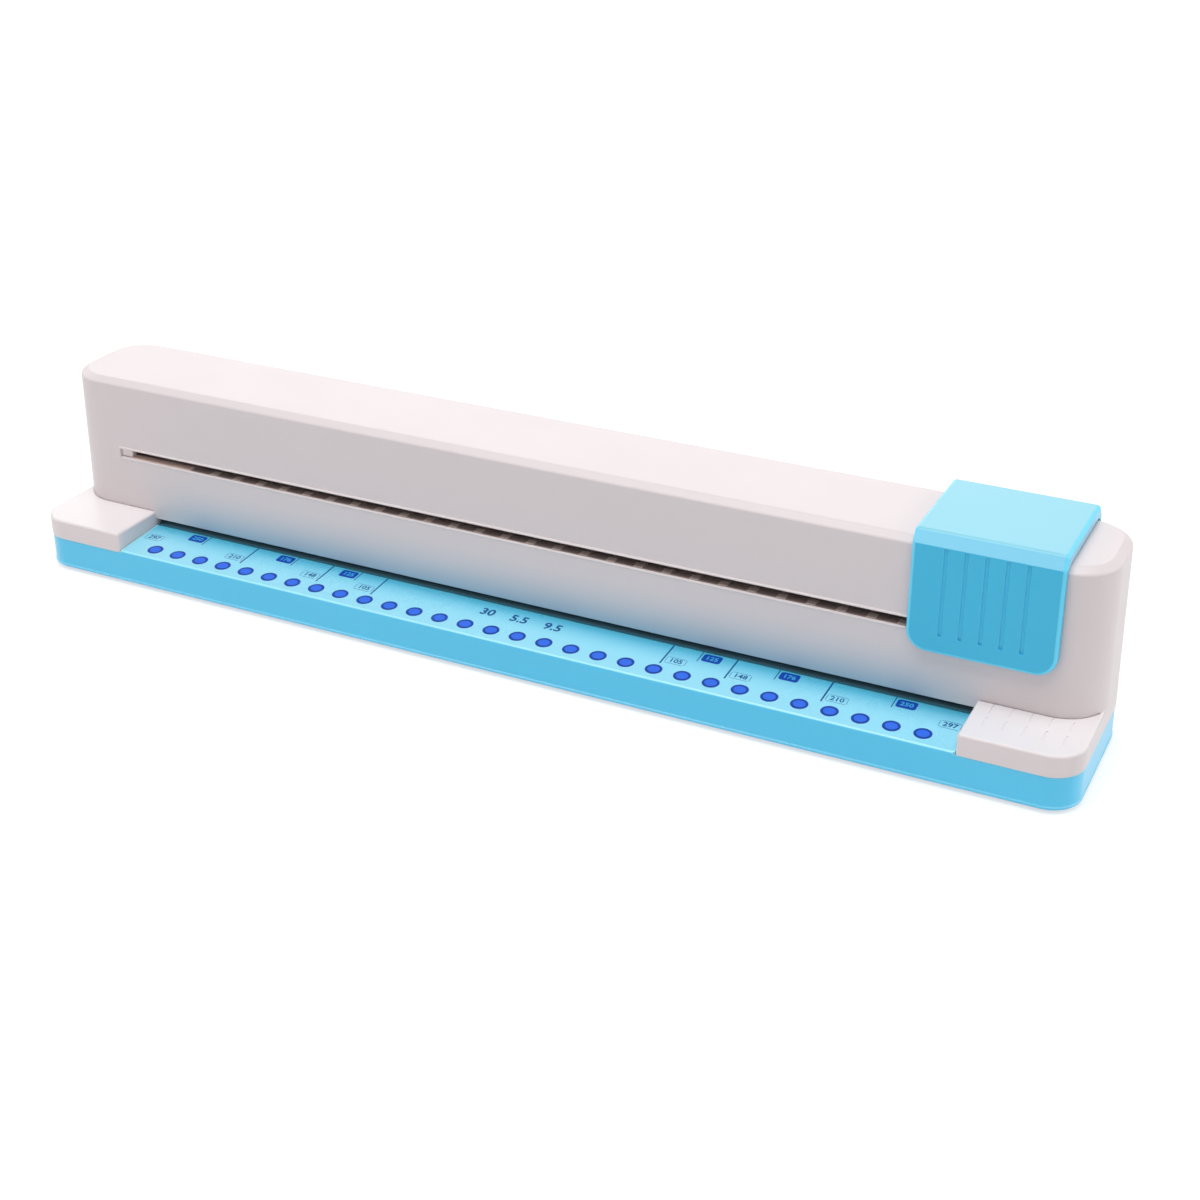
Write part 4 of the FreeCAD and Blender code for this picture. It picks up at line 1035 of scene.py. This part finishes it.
# %% Finger grooves, dimples and tongues
grip_low, grip_high, grip_depth, grip_radius, grip_pitch = 39.0, 66.1, 0.46, 0.70, 6.0
dimple_radius, dimple_depth, dimple_face = 0.68, 0.55, cap_face(grip_low)
tongue_half, tongue_near, tongue_far, tongue_low, tongue_high = 8.4, 11.3, 20.6, 38.4, 40.6


def beside(side, near, far_off):
    """Lowest and highest Y between two distances from the punch line, on one side of it."""
    return sorted(punch_line + side * reach for reach in (near, far_off))


def grip_rod(x, side):
    """Rod that lies along the leaning plate, sunk into it, with a level end at both heights."""
    return stack([(arc(x, punch_line + side * (cap_face(z) + grip_radius - grip_depth), grip_radius,
                       steps=16), z) for z in (grip_low, grip_high)])


def dimple_rod(x, side):
    """Short level rod that sinks into the plate at the foot of a groove."""
    ring = arc(x, grip_low, dimple_radius, steps=16)
    return stack([(ring, punch_line + side * reach)
                  for reach in (dimple_face - dimple_depth, dimple_face + 1.0)], 1)


for rod in (grip_rod, dimple_rod):
    cap = cut(cap, merged([rod(park + grip_pitch * (i - 2), side) for i in range(5) for side in sides]))
tongues = [block(park - tongue_half, park + tongue_half, *beside(side, tongue_near, tongue_far),
                 tongue_low, tongue_high) for side in sides]
cap = join(cap, bevelled(merged(tongues), 0.3))
finished(cap, "cap", "slider", "blue_cap", ("slider_cap",), degrees=32.0)

# %% [markdown]
# ## Inner steel and small plastic parts
#
# These pieces already have their true form in the solid model.  What they lack is the tiny
# rounding that a pressed, turned or moulded edge has.  A helper copies such a piece, cleans
# its facets, rounds its edges and gives it a finish.  The copy stands for the original.

# %% Dress the simple pieces
def dressed(original_name, finish, width, segments, degrees=40.0):
    """Copy of a solid piece with cleaned facets and softly rounded edges."""
    original = nodes[original_name]
    piece = clean(linked(original_name + "_dressed", original.data.copy()), 1.0, 0.001)
    bevelled(piece, width, segments, degrees)
    finished(piece, original_name + "_part", original["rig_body"], finish, (original_name,))


for finish, width, segments, names in (
        ("steel_plate", 0.12, 2, "die_plate gap_spacers paper_stop rail_bracket_left rail_bracket_right "
                                 "reaction_rail stop_rivets carriage_frame"),
        ("dark_steel", 0.12, 2, "guide_channel press_cam"),
        ("roller_steel", 0.1, 2, "top_roller_left top_roller_right roller_axle_left roller_axle_right"),
        ("screw_steel", 0.06, 2, "frame_screws rail_screws cover_screws bottom_screws carriage_screws"),
        ("white_plug", 0.25, 3, "end_bumpers_left end_bumpers_right"),
        ("blue_base", 0.12, 2, "bottom_plate")):
    for original_name in names.split():
        dressed(original_name, finish, width, segments)

# %% [markdown]
# ## Waste door
#
# The punched discs fall into a clear blue tray that is the door of the chamber as well.  Its
# underside starts with a deep cove in front, slopes gently to the rear, and ends in a frosted
# band with a short rib for each hole.  Two finger tabs stand out behind.  The section is drawn
# once and pulled along the base.  The plan outline then trims it, as a mould does.

# %% Section and outline of the door
door_front, door_rear, door_reach, door_low = -18.5, 12.4, 143.5, 1.2
door_rim, door_skin, door_cove, door_recess, band_start, band_height = 1.0, 1.5, 6.5, 4.2, 3.4, 4.2
door_hinge_y, door_hinge_z, hinge_radius, hinge_reach = -14.3, 4.5, 1.2, 145.9
underside = [(door_front + door_rim + forward, door_low + door_recess * math.sin(math.radians(9 * i)))
             for i, (forward, _) in enumerate(quarter_arc(door_cove, 10))]
underside += [(band_start, band_height), (door_rear - door_rim, door_low)]
upperside = [(y, z + door_skin) for y, z in underside[::-1]]


def door_plan(inset, z0, z1):
    """Block with the plan outline of the door, drawn in by an inset."""
    return mould((-door_reach, door_reach, door_front, door_rear), (4.0, 5.5, 5.5, 4.0),
                 [(inset, z0), (inset, z1)], 10)


# %% Skin and rim of the door
hinge_top, cut_reach = door_hinge_z + hinge_radius, door_reach + 1
rear_edge = [(door_rear, door_low), (door_rear, door_low + door_skin)]
skin_section = [(door_front, door_low + door_rim)] + underside + rear_edge + upperside
skin_section.append((door_front, door_low + door_rim + door_skin))
door = combine(prism(skin_section, -cut_reach, cut_reach), [door_plan(0.0, 0.0, 12.0)], "INTERSECT")
rim_section = [(door_front, door_low + door_rim), (door_front + door_rim, door_low)] + rear_edge
rim_section += [p for p in upperside if p[0] > door_hinge_y]
rim_section += [(door_hinge_y, hinge_top), (door_front + door_rim, hinge_top),
                (door_front, hinge_top - door_rim)]
door_wall = cut(door_plan(0.0, 0.0, 12.0), door_plan(door_rim, -1.0, 13.0))
door_wall = combine(door_wall, [prism(rim_section, -cut_reach, cut_reach)], "INTERSECT")
door = join(door, door_wall)

# %% Finger tabs and hinge pins
tab_places, tab_half, tab_rear, tab_lip_front, tab_hollow_half = (-50.0, 50.0), 10, 18.8, 16.8, 9.2
for x in tab_places:
    tab = join(block(x - tab_half, x + tab_half, door_rear - 1.0, tab_rear, door_low, door_low + 1.4),
               block(x - tab_half, x + tab_half, tab_lip_front, tab_rear, door_low, door_low + 1.9))
    tab = cut(tab, block(x - tab_hollow_half, x + tab_hollow_half, door_rear + 0.5, tab_lip_front - 0.4,
                         door_low - 1.0, door_low + 0.45))
    door = join(door, tab)
for side in sides:
    ends = sorted((side * (door_reach - 1.0), side * hinge_reach))
    door = join(door, prism(arc(door_hinge_y, door_hinge_z, hinge_radius), *ends))
door = bevelled(clean(door), 0.15, 2, 42.0)
finished(door, "waste_door_clear", "door", "clear_blue", ("waste_door",))

# %% Frosted band with its ribs
pin_pitch, pin_count = 9.5, 30
pin_places = [pin_pitch * (i - (pin_count - 1) / 2) for i in range(pin_count)]
band_run = Vector((door_rear - door_rim - band_start, door_low - band_height))
band_down = Vector((band_run.y, -band_run.x)).normalized()


def on_band(share, drop):
    """Point of (y, z) on the sloping band, at a share of its run and a drop under it."""
    return tuple(Vector((band_start, band_height)) + band_run * share + band_down * drop)


def rib(x):
    """Short rib under the band at the place of one hole."""
    rings = []
    for half_width, drop in ((0.75, 0.05), (0.75, 0.16), (0.35, 0.34)):
        front, rear = on_band(0.10, drop), on_band(0.88, drop)
        rings.append([(x - half_width, *front), (x + half_width, *front),
                      (x + half_width, *rear), (x - half_width, *rear)])
    return solid("rib", rings)


band = prism([on_band(0.03, 0.12), on_band(0.97, 0.12), on_band(0.97, -0.1), on_band(0.03, -0.1)],
             -door_reach, door_reach)
band = join(band, merged([rib(x) for x in pin_places]))
band = combine(band, [door_plan(door_rim + 0.1, -1.0, 13.0)], "INTERSECT")
finished(clean(band), "door_band", "door", "frosted_blue_shade", slot="clear_blue", degrees=30.0)

# %% [markdown]
# ## Non-slip pad
#
# A sheet of dark foam covers the underside up to a thin blue rim.  It is cut out round the
# door and its two finger tabs.

# %% Pad
pad_inset, tab_room_half, tab_room_rear = 2.6, 11.5, 20.3
pad = mould(base_box, base_radii, [(pad_inset + inset, z) for inset, z in (
    (0.25, 0.0), (0.05, 0.08), (0.0, 0.25), (0.0, pad_top))])
pad = cut(pad, mould((-145.0, 145.0, -20.0, 13.9), (5.0, 7.0, 7.0, 5.0), [(0.0, -1.0), (0.0, 2.0)], 8),
          *(block(x - tab_room_half, x + tab_room_half, 0.0, tab_room_rear, -1.0, 2.0)
            for x in tab_places))
finished(clean(pad), "foam_pad", "base", "black_pad", ("nonslip_pad",), degrees=40.0)

# %% [markdown]
# ## Pins and springs
#
# Every hole has a turned pin with a broad head.  A short coil under the head lifts the pin
# again after the cap has passed.

# %% Pins
for index in range(pin_count):
    dressed("punch_pin_%02d" % (index + 1), "pin_steel", 0.18, 2, 50.0)

# %% Springs
coil_radius, wire_radius, coil_turns = 3.4, 0.4, 3
coil_low, coil_high = 25.92 + wire_radius, 34.98 - wire_radius
climb = (coil_high - coil_low) / (coil_turns * 2 * math.pi)


def coil_rings(x, steps_round=24, steps_wire=8):
    """Rings of the helical wire round one pin, from its foot to its top."""
    stations = coil_turns * steps_round
    rings = []
    for s in range(stations + 1):
        t = 2 * math.pi * s / steps_round
        outward = Vector((math.cos(t), math.sin(t), 0.0))
        along = Vector((-coil_radius * math.sin(t), coil_radius * math.cos(t), climb)).normalized()
        over_wire = along.cross(outward).normalized()
        z = coil_low + (coil_high - coil_low) * s / stations
        centre = Vector((x, punch_line, z)) + outward * coil_radius
        rings.append([centre + outward * out + over_wire * up
                      for out, up in arc(0.0, 0.0, wire_radius, steps=steps_wire)])
    return rings


for index, x in enumerate(pin_places):
    coil = solid("coil_%02d" % (index + 1), coil_rings(x))
    face_outward(coil)
    coil.data.shade_smooth()
    coil.data.materials.append(finishes["spring_wire"])
    "pin_%02d" % (index + 1)
    x * mm
    x * mm
    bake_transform(coil)
    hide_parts("return_springs")
print("coils:", len(pin_places))

# %% [markdown]
# ## Fibre comb and strips of painted shade
#
# Thin strips show in the openings of the housing.  A brown fibre comb stands in front of the
# coils and keeps paper dust off them, and a dark screen right behind it shows between its
# fingers as painted shade of the coils.  Strips on the floor of both slots are painted shade:
# brown at the ends, darker in the middle, with a row of paler bars of painted light.  A dark
# strip lies in the mouth under the tower as painted shade, and the sheet slides over it.

# %% Comb behind the slot
comb_front, comb_rear, comb_foot, comb_top, comb_half = -2.5, -2.1, 17.95, 37.8, 166.0
foot_half, foot_front, foot_thick, window_half, window_low = comb_half - 18, -6.5, 0.5, 3.55, 21.0
screen_half, screen_low, screen_top = comb_half - 22, 26.2, 36.3


def inner_strip(piece, name, finish, width):
    """Finish a thin strip inside the housing, with its edges rounded."""
    finished(bevelled(piece, width), name, "base", finish, slot="dark_steel")


comb = block(-comb_half, comb_half, comb_front, comb_rear, comb_foot, comb_top)
comb = join(comb, block(-foot_half, foot_half, foot_front, comb_rear, comb_foot, comb_foot + foot_thick))
windows = [block(x - window_half, x + window_half, comb_front - 1, comb_rear + 1, window_low, comb_top + 1)
           for x in pin_places[1:-1]]
inner_strip(clean(cut(comb, merged(windows))), "coil_comb", "comb_fibre", 0.1)
# A dark screen right behind the comb shows between its fingers as painted shade of the coils.
inner_strip(block(-screen_half, screen_half, comb_rear - 0.02, comb_rear + 0.25, screen_low, screen_top),
            "coil_screen", "painted_coil_shade", 0.08)

# %% Painted shade on the floor of both slots
liner_reach, liner_inner, liner_end, liner_split = slot_face - 0.25, 15.85, 157.3, 132.0
liner_thick, bar_thick, bar_half, bar_shift = 0.22, 0.34, 1.5, pin_pitch / 2 + 1.2


def liners(name, finish, spans, thick):
    """Thin strips on the floor of both slots, one for each span along X, coloured as painted shade and
    light.
    """
    strips = [block(x0, x1, *beside(side, liner_inner, liner_reach), slot_floor - 0.02, slot_floor + thick)
              for side in sides for x0, x1 in spans]
    inner_strip(merged(strips), name, finish, 0.06)


liners("slot_floor_shade_ends", "floor_shade_brown", [(-liner_end, -liner_split), (liner_split, liner_end)], liner_thick)
liners("slot_floor_shade", "floor_coil_shade", [(-liner_split, liner_split)], liner_thick)
liners("slot_floor_light_bars", "floor_light_bar", [(x + bar_shift - bar_half, x + bar_shift + bar_half)
                                          for x in pin_places[1:-1]], bar_thick)

# %% Dark strip of painted shade in the mouth
slip_half, slip_rear, slip_top, slip_thick = 148.6, -2.7, 14.1, 0.3
inner_strip(block(-slip_half, slip_half, tower_front - 0.25, slip_rear, slip_top - slip_thick, slip_top),
            "mouth_shadow_strip", "mouth_painted_shadow", 0.08)

# %% [markdown]
# ## Printed marks
#
# The platform has a row of printed dots, one in front of each pin, and thin lines for the
# sizes of paper.  The marks are thin films of ink that follow the slope of the platform.
# Only plain numbers stand beside them: lengths of the paper's edge in millimetres, and the
# count, the width and the pitch of the holes.

# %% Films of ink on the sloping platform
film, film_sink, over_film, line_rear = 0.03, 0.01, 0.02, -10.35
slope = (platform_rear - platform_front) / (tower_front - base_front)


def platform_height(y):
    """Height of the platform's upper face."""
    return platform_front + slope * (y - base_front)


def film_piece(name, outlines, finish, lift=0.0):
    """Thin closed films on the platform from level outlines of (x, y) points."""
    films = [solid("film", [[(x, y, platform_height(y) + z + lift) for x, y in ring]
                            for z in (-film_sink, film)]) for ring in outlines]
    finished(merged(films), name, "base", finish, slot="blue_base", smooth=False)


def both_sides(sizes, shift=0.0):
    """Each length of paper with the X of its edge on either side, moved out by a shift."""
    return [(size, side * (size / 2 + shift)) for size in sizes for side in sides]


film_box = (-148.3, 148.3, base_front + 0.9, line_rear)
film_piece("scale_film", [outline(film_box, (0.6,) * 4, steps=4)], "cyan_film")
dot_line, dot_radius, rim_width, dot_squeeze = -25.6, 2.75, 0.78, 0.9
film_piece("dot_rims", [arc(x, dot_line, dot_radius, steps=36) for x in pin_places], "rim_ink", film)
film_piece("dots", [arc(x, dot_line, dot_radius - rim_width, steps=36, squeeze=dot_squeeze)
                    for x in pin_places], "dot_ink", film + over_film)

# %% Lines, badges and label frames
line_sizes, badge_sizes = (105, 148, 210), (125, 176, 250)
line_front, line_half, tick_front, tick_half = -21.7, 0.26, -16.2, 0.16
badge_middle, badge_line, badge_half_x, badge_half_y, badge_round = 3.9, -13.3, 3.1, 2.1, 0.9
film_piece("size_lines", [rectangle(x - line_half, x + line_half, line_front, line_rear)
                          for _, x in both_sides(line_sizes)], "line_ink", film)
film_piece("size_badges", [outline((x - badge_half_x, x + badge_half_x, badge_line - badge_half_y,
                                    badge_line + badge_half_y), (badge_round,) * 4, steps=5)
                           for _, x in both_sides(badge_sizes, badge_middle)], "badge_ink", film)
film_piece("badge_ticks", [rectangle(x - tick_half, x + tick_half, tick_front, line_rear)
                           for _, x in both_sides(badge_sizes)], "line_ink", film)


def frame_outlines(x, y, half_x=3.3, half_y=1.8, line=0.14, gap=0.4):
    """Four thin strips that frame a label and leave its corners open."""
    left, right, front, rear = x - half_x, x + half_x, y - half_y, y + half_y
    return [rectangle(left + gap, right - gap, front, front + line),
            rectangle(left + gap, right - gap, rear - line, rear),
            rectangle(left, left + line, front + gap, rear - gap),
            rectangle(right - line, right, front + gap, rear - gap)]


label_line, label_middle, wing_size, wing_label = -18.9, 4.2, 297, 143.7
labels = [(size, x, label_line) for size, x in both_sides(line_sizes, label_middle)]
labels += [(wing_size, side * wing_label, label_line + 0.4) for side in sides]
film_piece("label_frames", [ring for _, x, y in labels for ring in frame_outlines(x, y)], "line_ink", film)


# %% Plain numbers
def letter_mesh(text, height, boldness):
    """Mesh of a line of text that lies level round the origin."""
    curve = setup(bpy.data.curves.new("number", "FONT"), body=text, size=height * mm, align_x="CENTER",
                  align_y="CENTER", extrude=over_film * mm, offset=boldness * mm, resolution_u=3)
    maker = linked("number", curve)
    letters = final_mesh(maker)
    bpy.data.objects.remove(maker)
    return letters


def number_film(name, lines, finish, height, lift, boldness=0.05):
    """Plain numbers laid on the platform, each given as text and its middle."""
    mesh = bpy.data.meshes.new(name)
    with edited(mesh) as shape:
        for text, x, y in lines:
            letters = letter_mesh(str(text), height, boldness)
            middle = Matrix.Translation((x * mm, y * mm, (platform_height(y) + over_film + lift) * mm))
            letters.transform(middle @ Matrix.Rotation(math.atan(slope), 4, "X"))
            shape.from_mesh(letters)
            bpy.data.meshes.remove(letters)
    finished(linked(name, mesh), name, "base", finish, slot="blue_base", smooth=False)


number_film("line_numbers", labels, "line_ink", 3.0, film)
number_film("hole_count", [("30    5.5    9.5", 1.0, -16.3)], "line_ink", 5.2, film, 0.12)
badge_labels = [(size, x, badge_line) for size, x in both_sides(badge_sizes, badge_middle)]
number_film("badge_numbers", badge_labels, "number_ink", 2.8, film + over_film)

# %% [markdown]
# ## Size of the model
#
# The dressed model must keep the size of the solid one, so both boxes are written down.

# %% Print both boxes
dressed_box = [list(corner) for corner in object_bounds()]
for label, box_now in (("solid", solid_box), ("dressed", dressed_box)):
    print(label, [[round(v / mm, 2) for v in corner] for corner in box_now])
